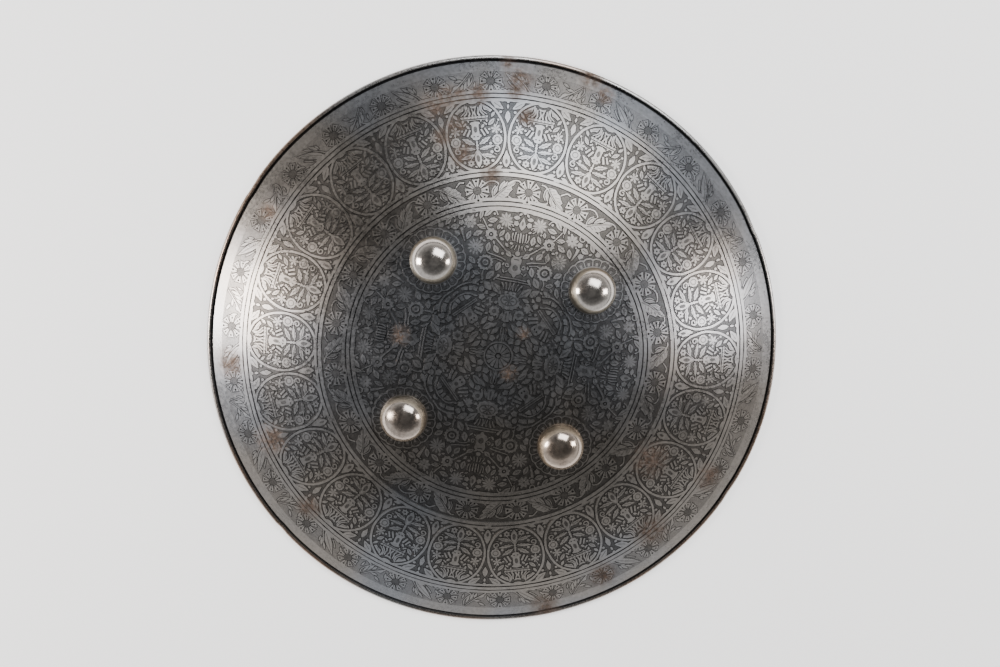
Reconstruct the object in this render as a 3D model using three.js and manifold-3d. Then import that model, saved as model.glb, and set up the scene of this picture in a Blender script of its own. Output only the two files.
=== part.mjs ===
// Round domed steel shield, lying on its rim: one sheet raised to a shallow bowl with a rolled rim,
// four bosses whose shanks go through the sheet, and a loose grip ring in the eye of each shank.
// Units are millimetres. +Z is the dome's axis, z = 0 is the plane that the rim rests on, and the
// bosses stand on the diagonals between +X and +Y.
import * as THREE from "three";
import { mergeVertices } from "three/addons/utils/BufferGeometryUtils.js";
import Module from "manifold-3d";

const wasm = await Module();
wasm.setup();

// Driving dimensions of the bowl
const shieldRadius = 225;
const domeRise = 55.8; // apex of the outer face above the middle of the rim
const sheet = 1.3;
const beadRadius = 2.3;
const beadFlat = 1.1; // half width of the flat that the rolled rim rests on
const roundSteps = 44; // two to a roundel

// Raised work on the outer face
const ringBands = [0.498, 0.594, 0.857].map((share) => share * shieldRadius);
const bandWidth = 4;
const bandRise = 0.35;
const bandSlope = 0.4; // run of each edge of a band
const roundelCount = 22;
const roundelRadius = 0.7265 * shieldRadius; // from the axis to the middle of a roundel
const roundelHalfLength = 0.1265 * shieldRadius; // along the dome's slope
const roundelHalfWidth = 0.101 * shieldRadius;
const roundelRise = 0.3;
const roundelSides = 16;

// Bosses and grip rings
const bossCount = 4;
const bossRadius = 85; // from the axis to the middle of a boss
const bossProfile = { foot: 16.9, side: 17.6, sideLow: 0.8, sideHigh: 1.8, top: 15 };
const bossSides = 20;
const shankRadius = 2.5;
const shankClearance = 0.4;
const fitGap = 0.3; // between pieces that touch
const eyeRadius = 4.7;
const eyeWire = 1.6;
const ringRadius = 12;
const ringWire = 1.6;

// Middle of the rolled rim's round section, and the sphere of the outer face, centred on the axis
const beadCentre = new THREE.Vector2(shieldRadius - beadRadius, Math.sqrt(beadRadius ** 2 - beadFlat ** 2));
const sphereRadius = (shieldRadius ** 2 + domeRise ** 2) / (2 * domeRise);
const sphereCentre = beadCentre.y + domeRise - sphereRadius;

const steel = new THREE.MeshStandardMaterial({ color: 0x5a5b5d, roughness: 0.4, metalness: 1 });
const brightSteel = new THREE.MeshStandardMaterial({ color: 0xa9a7a2, roughness: 0.18, metalness: 1 });
const ringIron = new THREE.MeshStandardMaterial({ color: 0x45423f, roughness: 0.5, metalness: 1 });

// Point of the sphere `offset` above the outer face, at radius r from the axis
function onDome(r, offset = 0) {
  return new THREE.Vector2(r, sphereCentre + Math.sqrt((sphereRadius + offset) ** 2 - r * r));
}

function slopeAt(r) {
  return Math.asin(r / sphereRadius);
}

function toSolid(geometry) {
  const bare = geometry.index ? geometry.toNonIndexed() : geometry.clone();
  bare.deleteAttribute("normal");
  bare.deleteAttribute("uv");
  const merged = mergeVertices(bare, 1e-4);
  return new wasm.Manifold(
    new wasm.Mesh({
      numProp: 3,
      vertProperties: merged.attributes.position.array,
      triVerts: new Uint32Array(merged.index.array),
    }),
  );
}

function toGeometry(solid) {
  const mesh = solid.getMesh();
  const geometry = new THREE.BufferGeometry();
  geometry.setAttribute("position", new THREE.BufferAttribute(new Float32Array(mesh.vertProperties), 3));
  geometry.setIndex(new THREE.BufferAttribute(new Uint32Array(mesh.triVerts), 1));
  geometry.computeVertexNormals();
  return geometry;
}

// Body turned about +Z from a profile of (radius, height) points
function turned(profile, steps) {
  return new THREE.LatheGeometry(profile, steps).rotateX(Math.PI / 2);
}

// Radii between two radii, in equal steps, without the ends
function between(from, to, count) {
  return Array.from({ length: count }, (_, i) => from + ((to - from) * (i + 1)) / (count + 1));
}

// Angle about the middle of the rolled rim at which it meets the sphere `offset` above the outer face
function beadMeets(offset) {
  const toCentre = new THREE.Vector2(0, sphereCentre).sub(beadCentre);
  const reach = toCentre.length();
  const cosine = (reach ** 2 + beadRadius ** 2 - (sphereRadius + offset) ** 2) / (2 * reach * beadRadius);
  return Math.atan2(toCentre.y, toCentre.x) - Math.acos(cosine);
}

function onBead(angle) {
  return new THREE.Vector2(Math.cos(angle), Math.sin(angle)).multiplyScalar(beadRadius).add(beadCentre);
}

// Outer face from the apex to the groove beside the rolled rim, with the three raised bands
function outerFace() {
  const stepsBefore = [4, 0, 1];
  const groove = onBead(beadMeets(0)).x;
  const points = [onDome(0)];
  let reached = 0;
  ringBands.forEach((radius, i) => {
    const inner = radius - bandWidth / 2;
    const outer = radius + bandWidth / 2;
    points.push(...between(reached, inner, stepsBefore[i]).map((r) => onDome(r)));
    points.push(onDome(inner), onDome(inner + bandSlope, bandRise));
    points.push(onDome(outer - bandSlope, bandRise), onDome(outer));
    reached = outer;
  });
  points.push(...between(reached, groove, 1).map((r) => onDome(r)), onDome(groove));
  return points;
}

// Round of the rolled rim, over its top and its outer side, across its flat and up to the inner face
function rimBead() {
  const start = beadMeets(0) + 2 * Math.PI;
  const end = beadMeets(-sheet);
  const lean = Math.asin(beadFlat / beadRadius);
  const flat = [lean - Math.PI / 2, -lean - Math.PI / 2];
  const angles = [...between(start, 0, 3), 0, ...between(0, flat[0], 1), ...flat, ...between(flat[1], end, 1)];
  return angles.map(onBead);
}

function innerFace() {
  const crease = onBead(beadMeets(-sheet)).x;
  const radii = [crease, ...between(0, crease, 5).reverse(), 0];
  return radii.map((r) => onDome(r, -sheet));
}

function bowlSolid() {
  const profile = [...outerFace(), ...rimBead(), ...innerFace()];
  return toSolid(turned(profile.reverse(), roundSteps));
}

// Zone between the second and third bands, lifted by the roundels' rise
function roundelLayer() {
  const inner = ringBands[1] + bandWidth / 2;
  const outer = ringBands[2] - bandWidth / 2;
  const radii = [inner, ...between(inner, outer, 1), outer];
  const top = radii.map((r) => onDome(r, roundelRise));
  const bottom = radii.reverse().map((r) => onDome(r, -sheet / 2));
  return toSolid(turned([...top, ...bottom, top[0]].reverse(), roundSteps));
}

// Frame on the outer face at radius r and azimuth a: local z is the dome's normal, local x points down the slope
function placeOnDome(object, r, a) {
  const point = onDome(r);
  object.position.set(r * Math.cos(a), r * Math.sin(a), point.y);
  object.rotation.set(0, slopeAt(r), a, "ZYX");
  object.updateMatrix();
  return object;
}

function roundelCutter(azimuth) {
  const oval = new THREE.Shape();
  oval.absellipse(0, 0, roundelHalfLength, roundelHalfWidth, 0, 2 * Math.PI, false, 0);
  const depth = 12;
  const prism = new THREE.ExtrudeGeometry(oval, {
    depth,
    bevelEnabled: false,
    curveSegments: roundelSides / 2,
  }).translate(0, 0, -depth / 2);
  const place = placeOnDome(new THREE.Object3D(), roundelRadius, azimuth);
  return toSolid(prism.applyMatrix4(place.matrix));
}

function withRoundels(bowl) {
  const layer = roundelLayer();
  for (let i = 0; i < roundelCount; i++) {
    const azimuth = ((i + 0.5) * 2 * Math.PI) / roundelCount;
    bowl = bowl.add(layer.intersect(roundelCutter(azimuth)));
  }
  return bowl;
}

function bossAzimuth(i) {
  return ((i + 0.5) * 2 * Math.PI) / bossCount;
}

function withShankHoles(bowl) {
  for (let i = 0; i < bossCount; i++) {
    const drill = new THREE.CylinderGeometry(shankRadius + shankClearance, shankRadius + shankClearance, 12, 12);
    const place = placeOnDome(new THREE.Object3D(), bossRadius, bossAzimuth(i));
    bowl = bowl.subtract(toSolid(drill.rotateX(Math.PI / 2).applyMatrix4(place.matrix)));
  }
  return bowl;
}

// Distance below the outer face of the middle of the eye at a shank's end
const eyeDepth = sheet + fitGap + eyeRadius + eyeWire;

function bossGeometry() {
  const { foot, side, sideLow, sideHigh, top } = bossProfile;
  const dome = between(0, Math.PI / 2, 5).map(
    (t) => new THREE.Vector2(side * Math.cos(t), sideHigh + (top - sideHigh) * Math.sin(t)),
  );
  const profile = [
    new THREE.Vector2(0, eyeRadius - eyeDepth - eyeWire / 2),
    new THREE.Vector2(shankRadius, eyeRadius - eyeDepth - eyeWire / 2),
    new THREE.Vector2(shankRadius, fitGap),
    new THREE.Vector2(foot, 0),
    new THREE.Vector2(side, sideLow),
    new THREE.Vector2(side, sideHigh),
    ...dome,
    new THREE.Vector2(0, top),
  ];
  const eye = new THREE.TorusGeometry(eyeRadius, eyeWire, 6, 12).rotateX(Math.PI / 2).translate(0, 0, -eyeDepth);
  return toGeometry(toSolid(turned(profile, bossSides)).add(toSolid(eye)));
}

function ringGeometry() {
  return new THREE.TorusGeometry(ringRadius, ringWire, 6, 16).rotateY(Math.PI / 2);
}

// The ring's wire rests in the bottom of the eye, and the ring hangs straight down from it
function placeRing(mesh, azimuth) {
  const wireDepth = eyeDepth + eyeRadius - eyeWire - ringWire - fitGap;
  const slope = slopeAt(bossRadius);
  const reach = bossRadius - wireDepth * Math.sin(slope);
  const height = onDome(bossRadius).y - wireDepth * Math.cos(slope) - ringRadius;
  mesh.position.set(reach * Math.cos(azimuth), reach * Math.sin(azimuth), height);
  mesh.rotation.set(0, 0, azimuth);
  return mesh;
}

function named(geometry, material, name) {
  const mesh = new THREE.Mesh(geometry, material);
  mesh.name = name;
  return mesh;
}

const shield = new THREE.Group();
shield.add(named(toGeometry(withShankHoles(withRoundels(bowlSolid()))), steel, "bowl"));
for (let i = 0; i < bossCount; i++) {
  const boss = named(bossGeometry(), brightSteel, `boss_${i + 1}`);
  shield.add(placeOnDome(boss, bossRadius, bossAzimuth(i)));
  shield.add(placeRing(named(ringGeometry(), ringIron, `grip_ring_${i + 1}`), bossAzimuth(i)));
}

export default shield;
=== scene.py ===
"""Domed steel shield lying on its rim: etched flowers and roundels on the bowl, four polished bosses
and a grip ring behind each of them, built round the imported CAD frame. Sizes are in metres, except in
the drawing of the etched work, which is laid out in millimetres as seen from straight above."""

import math
import random

import bpy
from mathutils import Matrix, Vector, noise
from mathutils.geometry import delaunay_2d_cdt
from mathutils.kdtree import KDTree


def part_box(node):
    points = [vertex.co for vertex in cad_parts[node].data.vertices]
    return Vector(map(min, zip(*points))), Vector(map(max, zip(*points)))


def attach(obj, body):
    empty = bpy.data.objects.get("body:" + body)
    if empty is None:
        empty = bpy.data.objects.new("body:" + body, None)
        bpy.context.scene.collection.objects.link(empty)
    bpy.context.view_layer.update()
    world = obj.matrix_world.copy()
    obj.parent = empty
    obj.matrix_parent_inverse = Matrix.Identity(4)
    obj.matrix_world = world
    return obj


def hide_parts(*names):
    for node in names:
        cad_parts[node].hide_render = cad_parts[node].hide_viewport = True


bl_info = {
    "name": "Etched steel shield",
    "version": (1, 0, 0),
    "blender": (4, 5, 0),
    "location": "3D View > Sidebar > Shield",
    "description": "Etched bowl, polished bosses and grip rings of a domed steel shield",
    "category": "Add Mesh",
}

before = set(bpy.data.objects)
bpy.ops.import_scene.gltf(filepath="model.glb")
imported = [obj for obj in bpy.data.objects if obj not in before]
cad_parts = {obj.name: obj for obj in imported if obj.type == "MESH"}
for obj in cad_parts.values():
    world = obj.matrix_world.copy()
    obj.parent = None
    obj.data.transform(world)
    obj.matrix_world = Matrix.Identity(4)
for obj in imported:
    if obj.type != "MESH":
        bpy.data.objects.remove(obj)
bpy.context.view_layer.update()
BOWL_LOW, BOWL_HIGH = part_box("bowl")
BOSSES = [f"boss_{i}" for i in range(1, 5)]
GRIP_RINGS = [f"grip_ring_{i}" for i in range(1, 5)]

# Plan of the etched work, in millimetres
RIM = BOWL_HIGH.x * 1000
BANDS = (0.498 * RIM, 0.594 * RIM, 0.857 * RIM)
INNER_FLOWERS, ROUNDELS, OUTER_FLOWERS, BOSS_COUNT = 20, 22, 30, 4
INNER_FLOWER_RADIUS, ROUNDEL_RADIUS, OUTER_FLOWER_RADIUS = 0.544 * RIM, 0.7265 * RIM, 0.908 * RIM
OUTER_LEAF_RADIUS = 0.902 * RIM
BOSS_RADIUS = 85.0
BOSS_BORDER = 24.4
BORDER_CELLS = 20
BAND_HALF, BAND_GROOVE = 1.25, 2.3
SHALLOW_RADIUS, SHALLOW_SHARE = 0.944 * RIM, 0.4
LINE = 0.5

# Levels of the drawing: INK is the line round a piece of metal, EDGE a line or dot cut into it
GROUND, METAL, FINE, INK, EDGE, HOLE, SHALLOW = range(7)

# Section of the bowl, in millimetres: the sphere of its outer face, the groove, and the rolled rim
SPHERE_RADIUS, SPHERE_CENTRE = 481.53, -423.71
SHEET = 1.3
BAND_LIFT, ROUNDEL_LIFT = 0.35, 0.3
GROOVE = 219.8
BEAD_CENTRE, BEAD_RADIUS, BEAD_FLAT = (222.7, 2.02), 2.3, 1.1
BEAD_START = 132
BEAD_UNROLLED = GROOVE + 1.4
GROOVE_STEPS = 7
INNER_CREASE = (219.9, 3.2)
HOLE_RADIUS, HOLE_SIDES = 2.9, 12

# Fineness of the mesh: sides of the rim, and spacing of the extra points in the outer and the inner face
RIM_SIDES = 220
OUTER_GRID, INNER_GRID = 8.5, 13

# Outlines with at least this many sides are circles round the axis, and are drawn without a wandering hand
STEADY_SIDES = 80

# Nicks in the rim, as (azimuth in degrees, depth in millimetres), and their width in degrees
RIM_NICKS = ((157.2, 0.9), (35.9, 1.0), (-21.3, 0.8), (-128.0, 0.6), (98.0, 0.5))
NICK_WIDTH = 0.9

# Share of a boss's height below which it is rougher and painted darker and browner, as painted shade round
# its foot
SATIN_SHADE_SHARE = 0.62

# Material slots of the bowl; the dark lines' slot also paints shade into the groove and onto the inner side
# of the rolled rim
METAL_SLOT, GROUND_SLOT, FINE_SLOT, LINE_AND_GROOVE_SHADE_SLOT, SHALLOW_SLOT, BEAD_SLOT, INNER_SLOT = range(7)
SLOT_OF = {METAL: METAL_SLOT, GROUND: GROUND_SLOT, FINE: FINE_SLOT, INK: LINE_AND_GROOVE_SHADE_SLOT, SHALLOW: SHALLOW_SLOT}


def oval(x, y, a, b=None, sides=12, turn=0.0):
    """Outline of an ellipse with half axes a and b, turned by that many degrees."""
    b = a if b is None else b
    cosine, sine = math.cos(math.radians(turn)), math.sin(math.radians(turn))
    angles = [2 * math.pi * (i + 0.5) / sides for i in range(sides)]
    flat = [(a * math.cos(t), b * math.sin(t)) for t in angles]
    return [(x + u * cosine - v * sine, y + u * sine + v * cosine) for u, v in flat]


def along(start, end, reach, side):
    """Point a share of the way from start to end, moved sideways to the left by a length."""
    dx, dy = end[0] - start[0], end[1] - start[1]
    length = math.hypot(dx, dy)
    return (start[0] + dx * reach - dy / length * side, start[1] + dy * reach + dx / length * side)


def almond(start, end, width, belly=0.5, steps=4, bend=0.0):
    """Leaf with two pointed ends, widest a share belly of the way along, its middle bent sideways."""
    power = math.log(0.5) / math.log(belly)
    shares = [i / steps for i in range(1, steps)]
    half = [width / 2 * math.sin(math.pi * t**power) for t in shares]
    bow = [4 * bend * t * (1 - t) for t in shares]
    right = [along(start, end, t, o - w) for t, w, o in zip(shares, half, bow)]
    left = [along(start, end, t, o + w) for t, w, o in zip(shares, half, bow)]
    return [start, *right, end, *reversed(left)]


def toothed(start, end, width, teeth=4, belly=0.45, notch=0.3):
    """Pointed leaf whose edges step in at each of its teeth."""
    power = math.log(0.5) / math.log(belly)
    sides = []
    for side in (-1, 1):
        edge = []
        for i in range(teeth):
            for share, depth in (((i + 0.35) / teeth, 0.0), ((i + 0.95) / teeth, notch)):
                half = width / 2 * math.sin(math.pi * share**power) * (1 - depth)
                edge.append(along(start, end, share, side * half))
        sides.append(edge[:-1])
    return [start, *sides[0], end, *reversed(sides[1])]


def smooth(points, steps=2):
    """Points of a curve that passes through every given point."""
    ends = [points[0], *points, points[-1]]
    curve = []
    for a, b, c, d in zip(ends, ends[1:], ends[2:], ends[3:]):
        for i in range(steps):
            t = i / steps
            weights = (
                -0.5 * t + t * t - 0.5 * t**3,
                1 - 2.5 * t * t + 1.5 * t**3,
                0.5 * t + 2 * t * t - 1.5 * t**3,
                0.5 * (t**3 - t * t),
            )
            curve.append(tuple(sum(w * p[k] for w, p in zip(weights, (a, b, c, d))) for k in (0, 1)))
    return [*curve, points[-1]]


def stroke(points, width, tip=None, steps=2):
    """Ribbon of that width round a smooth line through the points, narrowing to tip at its end."""
    line = smooth(points, steps) if len(points) > 2 else list(points)
    tip = width if tip is None else tip
    left, right = [], []
    for i, (x, y) in enumerate(line):
        before, after = line[max(i - 1, 0)], line[min(i + 1, len(line) - 1)]
        dx, dy = after[0] - before[0], after[1] - before[1]
        length = math.hypot(dx, dy) or 1.0
        half = (width + (tip - width) * i / (len(line) - 1)) / 2
        left.append((x - dy / length * half, y + dx / length * half))
        right.append((x + dy / length * half, y - dx / length * half))
    return [*right, *reversed(left)]


def curl(x, y, radius, width, turns, start, steps=9):
    """Ribbon wound inwards as a spiral, from that angle in degrees."""
    points = []
    for i in range(steps + 1):
        share = i / steps
        angle = math.radians(start) + share * turns * 2 * math.pi
        reach = radius * (1 - 0.75 * share)
        points.append((x + reach * math.cos(angle), y + reach * math.sin(angle)))
    return stroke(points, width, width * 0.7, steps=1)


def petals(x, y, count, inner, outer, width, turn=0.0, belly=0.62):
    """Star of pointed petals that meet at the inner radius, as one outline."""
    points = []
    shoulder = inner + belly * (outer - inner)
    half = math.asin(min(width / 2 / shoulder, 0.9 * math.sin(math.pi / count)))
    for i in range(count):
        angle = math.radians(turn) + 2 * math.pi * i / count
        steps = ((inner, -math.pi / count), (shoulder, -half), (outer, 0.0), (shoulder, half))
        points.extend((x + r * math.cos(angle + t), y + r * math.sin(angle + t)) for r, t in steps)
    return points


def grown(points, width):
    """The outline moved outwards by a width, for an outline whose inside is on its left."""
    moved = []
    for before, here, after in zip(points[-1:] + points[:-1], points, points[1:] + points[:1]):
        ax, ay = here[0] - before[0], here[1] - before[1]
        bx, by = after[0] - here[0], after[1] - here[1]
        a, b = math.hypot(ax, ay) or 1e-9, math.hypot(bx, by) or 1e-9
        normal_x, normal_y = ay / a + by / b, -ax / a - bx / b
        length = math.hypot(normal_x, normal_y)
        if length < 1e-6:
            moved.append((here[0] + ax / a * width, here[1] + ay / a * width))
            continue
        most = 1.7 if ax * by - ay * bx > 0 else 4.0
        reach = width * min(2 / length, most)
        moved.append((here[0] + normal_x / length * reach, here[1] + normal_y / length * reach))
    return moved


def scallops(x, y, radius, depth, count, sides=2):
    """Outline of a disc whose edge is a ring of round lobes."""
    points = []
    for i in range(count * sides):
        reach = radius + depth * abs(math.sin(math.pi * i / sides))
        angle = 2 * math.pi * i / (count * sides)
        points.append((x + reach * math.cos(angle), y + reach * math.sin(angle)))
    return points


class Pattern:
    """Closed outlines on a flat sheet. A later one covers what it overlaps of the earlier ones."""

    def __init__(self):
        self.shapes = []

    def add(self, level, *outlines, lift=0.0):
        """Draws outlines at a level, with their inside on their left."""
        for points in outlines:
            area = sum(p[0] * q[1] - q[0] * p[1] for p, q in zip(points, points[1:] + points[:1]))
            self.shapes.append((points if area > 0 else points[::-1], level, lift))

    def metal(self, *outlines):
        """Metal left standing."""
        self.add(METAL, *outlines)

    def cut(self, *outlines):
        """Dark lines and dots cut into the metal."""
        self.add(EDGE, *outlines)

    def fine(self, *outlines):
        """Darker stippled metal, with no line round it."""
        self.add(FINE, *outlines)

    def floor(self, x, y, a, b=None, sides=12):
        """Oval of etched ground with a dark line along its edge."""
        self.add(EDGE, oval(x, y, a, b, sides))
        self.add(GROUND, oval(x, y, a - LINE, (a if b is None else b) - LINE, sides))

    def place(self, other, x=0.0, y=0.0, turn=0.0, flip=False, lift=0.0):
        """Draws another pattern here, mirrored left to right first where flip is set."""
        cosine, sine = math.cos(math.radians(turn)), math.sin(math.radians(turn))
        side = -1.0 if flip else 1.0
        for points, level, own_lift in other.shapes:
            moved = [(x + u * side * cosine - v * sine, y + u * side * sine + v * cosine) for u, v in points]
            self.add(level, moved, lift=own_lift + lift)

    def mirrored(self, half):
        """Draws another pattern here as it is, and again mirrored left to right."""
        self.place(half)
        self.place(half, flip=True)


def roundel_pattern():
    """Oval cartouche with a fluted crown, a vase and a spray of leaves and flowers; +y is outward."""
    p = Pattern()
    p.metal(oval(0, 0, 22.8, 27.3, 36))
    p.floor(0, 0, 21, 25.6, 36)
    h = Pattern()
    # crown
    h.metal([(-6.7, 22.9), (-7.8, 18.5), (-10.3, 17.7), (-12.2, 16), (-14.2, 17.5), (-10.9, 20.4)])
    h.fine(stroke([(-8.2, 20.2), (-11.7, 17.5)], 0.4))
    h.metal(stroke([(-6.3, 23.5), (-6, 19.4), (-7.3, 16.9), (-9.9, 14.7)], 1.1, 0.7))
    h.metal(stroke([(-5.1, 22.3), (-4.9, 18.9), (-5.8, 16.3), (-7.6, 14.5)], 0.9, 1.1))
    h.metal(stroke([(-3.5, 21.2), (-3.7, 18.5), (-3.2, 16.3), (-4.4, 14.3)], 1.1, 1.3))
    h.metal(stroke([(-1.6, 20.2), (-0.5, 17.2), (-1.5, 14.3)], 0.9, 1.4))
    # buds and leaves beside the vase
    h.metal(almond((-15.8, 16.3), (-12.6, 12.4), 2.4))
    h.metal(oval(-17.7, 10, 1, sides=7))
    h.metal(stroke([(-16.8, 8.9), (-16.3, 7.3), (-15.7, 6)], 0.7))
    h.metal(almond((-15.1, 11.5), (-9.9, 6.5), 3.1))
    h.fine(stroke([(-13.8, 10.1), (-11, 7.6)], 0.4))
    h.metal(stroke([(-9.1, 7), (-6.8, 8.9)], 1.3))
    h.metal(petals(-15.1, 3.3, 6, 0.6, 4.2, 2, turn=20))
    h.metal(oval(-10.3, 3.6, 1, sides=7))
    h.metal(oval(-19.1, 0.6, 1, sides=7))
    # handles of the vase
    h.metal(stroke([(-6.8, 4.7), (-8.1, 2.2), (-9.5, 0.3)], 1.4, 1.6))
    h.metal(stroke([(-4, 4), (-5.4, 1.4), (-6.6, -1.1)], 1.5, 1.7))
    # open flowers, leaves and berries
    h.metal(scallops(-15.6, -4.7, 3.6, 0.5, 10))
    h.fine(oval(-15.6, -4.7, 2.4, sides=14))
    h.metal(oval(-15.6, -4.7, 1.8, sides=12))
    h.metal(oval(-10.3, -7.2, 1.2, sides=9))
    h.metal(toothed((-1.6, -7.1), (-10.9, -2.1), 4, 4))
    h.fine(stroke([(-2.9, -6.6), (-8.2, -3.5)], 0.4))
    h.metal(toothed((-1.3, -10.7), (-13.4, -9.1), 3.3, 5))
    h.fine(stroke([(-2.9, -10.8), (-9.8, -10.4)], 0.4))
    h.metal(toothed((-2.8, -14.5), (-13.3, -17.7), 3.4, 4))
    h.fine(stroke([(-4.5, -15.2), (-10.4, -16.7)], 0.4))
    h.metal(stroke([(-0.7, -11.7), (-2.7, -14.6), (-5.4, -17.9)], 0.6))
    h.metal(curl(-14.3, -11.7, 2.7, 1.2, 1.2, 75, 11))
    h.metal(oval(-10.6, -13.6, 1.3, sides=9))
    h.metal(oval(-10.5, -20, 1.2, sides=9))
    h.metal(almond((-14.9, -15.8), (-11.9, -14.7), 0.7))
    h.metal(scallops(-5.7, -20.8, 2, 0.9, 6))
    h.cut(oval(-5.7, -20.8, 0.7, sides=7))
    h.metal(almond((-3.5, -23.2), (-0.9, -24.2), 1.2))
    p.mirrored(h)
    # middle of the crown, the two bars below it and the vase
    p.metal([(-4.6, 25.4), (-2.3, 26.7), (2.3, 26.7), (4.6, 25.4), (2.5, 23.9), (0, 23.5), (-2.5, 23.9)])
    p.metal([(-2.9, 22.3), (0, 21.6), (2.9, 22.3), (2, 20.5), (0, 20.2), (-2, 20.5)])
    p.metal([(-10.6, 13.9), (10.6, 13.9), (10, 12.4), (-10, 12.4)])
    p.fine(*[oval(2.74 * i, 13.1, 0.5, sides=5) for i in range(-3, 4)])
    p.metal([(-10.3, 11.7), (10.3, 11.7), (9.3, 11.1), (-9.3, 11.1)])
    p.metal(
        [(-4.2, 8.5), (-2.9, 9.7), (0, 10.4), (2.9, 9.7), (4.2, 8.5), (2.7, 7.7), (2.5, 6.8)]
        + [(2.6, 0.6), (3.7, -0.2), (4, -1.6), (2.8, -2), (2.5, -3.4), (0, -4.2)]
        + [(-2.5, -3.4), (-2.8, -2), (-4, -1.6), (-3.7, -0.2), (-2.6, 0.6), (-2.5, 6.8), (-2.7, 7.7)]
    )
    p.cut(*[oval(x, -1.3, 0.7, 0.5, 6) for x in (-1.3, 1.3)])
    p.fine(oval(0, 4.1, 1.3, 2.5, 12))
    # stem and middle petal
    p.metal(stroke([(0, -4.4), (0, -11.7)], 1.2))
    p.metal(*[oval(0, y, a, 0.8, 8) for y, a in ((-5.8, 0.9), (-7.8, 1.4), (-9.9, 1.2))])
    p.metal(toothed((0, -11.5), (0, -24.4), 6, 4, 0.5, 0.16))
    p.fine(oval(0, -17.8, 1.4, 2.7, 12))
    return p


def roundel_spandrels():
    """Leaves in the four corners between one roundel and the next, about the line between them."""
    p = Pattern()
    h = Pattern()
    h.metal(almond((2.2, -23.8), (8.6, -26), 2.9))
    h.metal(oval(4.1, -21.6, 1, sides=8))
    h.metal(toothed((3.4, 19.2), (13.6, 25.7), 5.6, 3, 0.5, 0.2))
    h.fine(stroke([(5.6, 20.6), (10.8, 23.9)], 0.5))
    h.metal(oval(5.4, 16.9, 1.2, sides=8))
    h.metal(almond((1.6, 25.9), (6.8, 25.4), 1.6))
    p.mirrored(h)
    p.metal(toothed((0, -24.8), (0, -11.7), 6, 4, 0.42, 0.14))
    p.fine(oval(0, -20.2, 1, 2, 8))
    p.metal([(-2.6, -28.2), (2.6, -28.2), (0, -25.4)])
    p.metal(toothed((0, 8.5), (0, 18.4), 4.4, 3, 0.55, 0.14))
    p.metal(almond((0, 19.3), (0, 23.4), 2))
    p.metal(oval(0, 25, 1.2, sides=8))
    return p


def band_leaf():
    """Lobed leaf between two flowers of the inner band, with the stems that join them; +y is outward."""
    p = Pattern()
    p.metal(stroke([(-13.1, 4), (-11.5, 5.4), (-8.9, 6.2), (-5.8, 5.9), (-3.6, 4.8), (-3.4, 3.6)], 1.1))
    p.metal(stroke([(-5.6, 2.9), (-7.5, 0.5), (-8, -2), (-7.7, -4.5), (-6.9, -5.9)], 0.8))
    p.metal(almond((-6.8, -4.8), (-3.4, 3.4), 2.5, bend=0.4))
    p.fine(stroke([(-6.1, -3.1), (-5.1, 0.1), (-4, 2.2)], 0.3, steps=1))
    p.metal(almond((-3.2, -1.4), (1.5, 6.7), 3))
    p.fine(stroke([(-2.3, 0.1), (0.6, 4.9)], 0.4))
    p.metal(almond((0.4, 1.7), (3.4, 6.4), 1.8))
    p.metal(almond((2.3, 2.9), (8.6, 6.4), 1.5))
    p.metal(
        [(-5.8, -5.9), (-3.7, -3.8), (-0.5, -0.9), (3, 1.7), (6.9, 4.3), (9.4, 5.8)]
        + [(8.1, 3.4), (6.3, 2.3), (7.3, 0.4), (5.6, -1.4), (5, -2.1), (4.1, -4.2), (2, -5.1)]
        + [(-0.1, -7.1), (-3, -6.7)]
    )
    p.fine(stroke([(3, 0.4), (6.2, 0.7)], 0.4), stroke([(0.9, -1.6), (4.1, -2)], 0.4))
    p.fine(stroke([(-1.5, -3.2), (1.3, -4.1)], 0.4), stroke([(-3.7, -4.8), (-0.8, -5.7)], 0.4))
    p.cut(stroke([(-7, -6.6), (-2.3, -1.9), (2.3, 1.7), (9.5, 6.1)], 2, 0.8, 2))
    p.metal(stroke([(-7, -6.6), (-2.3, -1.9), (2.3, 1.7), (9.5, 6.1)], 1.2, 0.4, 2))
    p.fine(stroke([(-5.8, -5.4), (-1.9, -1.7), (2, 1.5)], 0.3, steps=1))
    p.metal(stroke([(3.6, 4.5), (6.6, 6.4), (9.6, 7.1), (12.2, 6.4), (13.4, 4.7)], 1.1))
    p.metal(stroke([(4.3, -4.6), (6.2, -6.2), (8.8, -7.5), (11.7, -6.6)], 1.1))
    p.metal(stroke([(-11.7, -7), (-9.6, -7.3), (-7.7, -6.6), (-6.5, -5.4)], 1.1))
    p.metal(stroke([(-5.9, -6.9), (-3, -7.2), (0.1, -6.8)], 0.8))
    return p


def rim_leaf():
    """Leaf of the outer band that leans back over its stem, with a spray on its right; +y is outward."""
    p = Pattern()
    p.metal(almond((6.9, -6.6), (-10.9, 8.1), 5.3, 0.42, 7))
    p.fine(stroke([(4.9, -4.8), (-1.4, 0.5), (-8.4, 5.9)], 0.4, steps=1))
    p.metal(stroke([(-8.4, 1.2), (-6, -1.4), (-2.7, -3.8)], 0.9))
    p.metal(almond((-2.8, -6.6), (-8.4, -4.8), 1.3))
    p.metal(almond((5.6, -5.9), (-2.1, -4.8), 2.1))
    p.metal(almond((2.3, 2.5), (-3.5, 8.3), 2))
    p.metal(almond((5.3, 0.1), (1, 7.4), 2.3))
    p.metal(almond((6.5, 0.1), (5.1, 5.2), 1.6))
    p.metal(stroke([(1.8, 2.5), (4.6, -0.6), (7, -3.4), (8.8, -5.9), (12.3, -6.6)], 0.8))
    p.metal(stroke([(-9.1, -5.9), (-12, -4.8), (-13.7, -5.9), (-15.8, -4.8)], 0.8))
    p.metal(almond((-10.9, -3.1), (-13.7, 0.1), 1.8))
    return p


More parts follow.
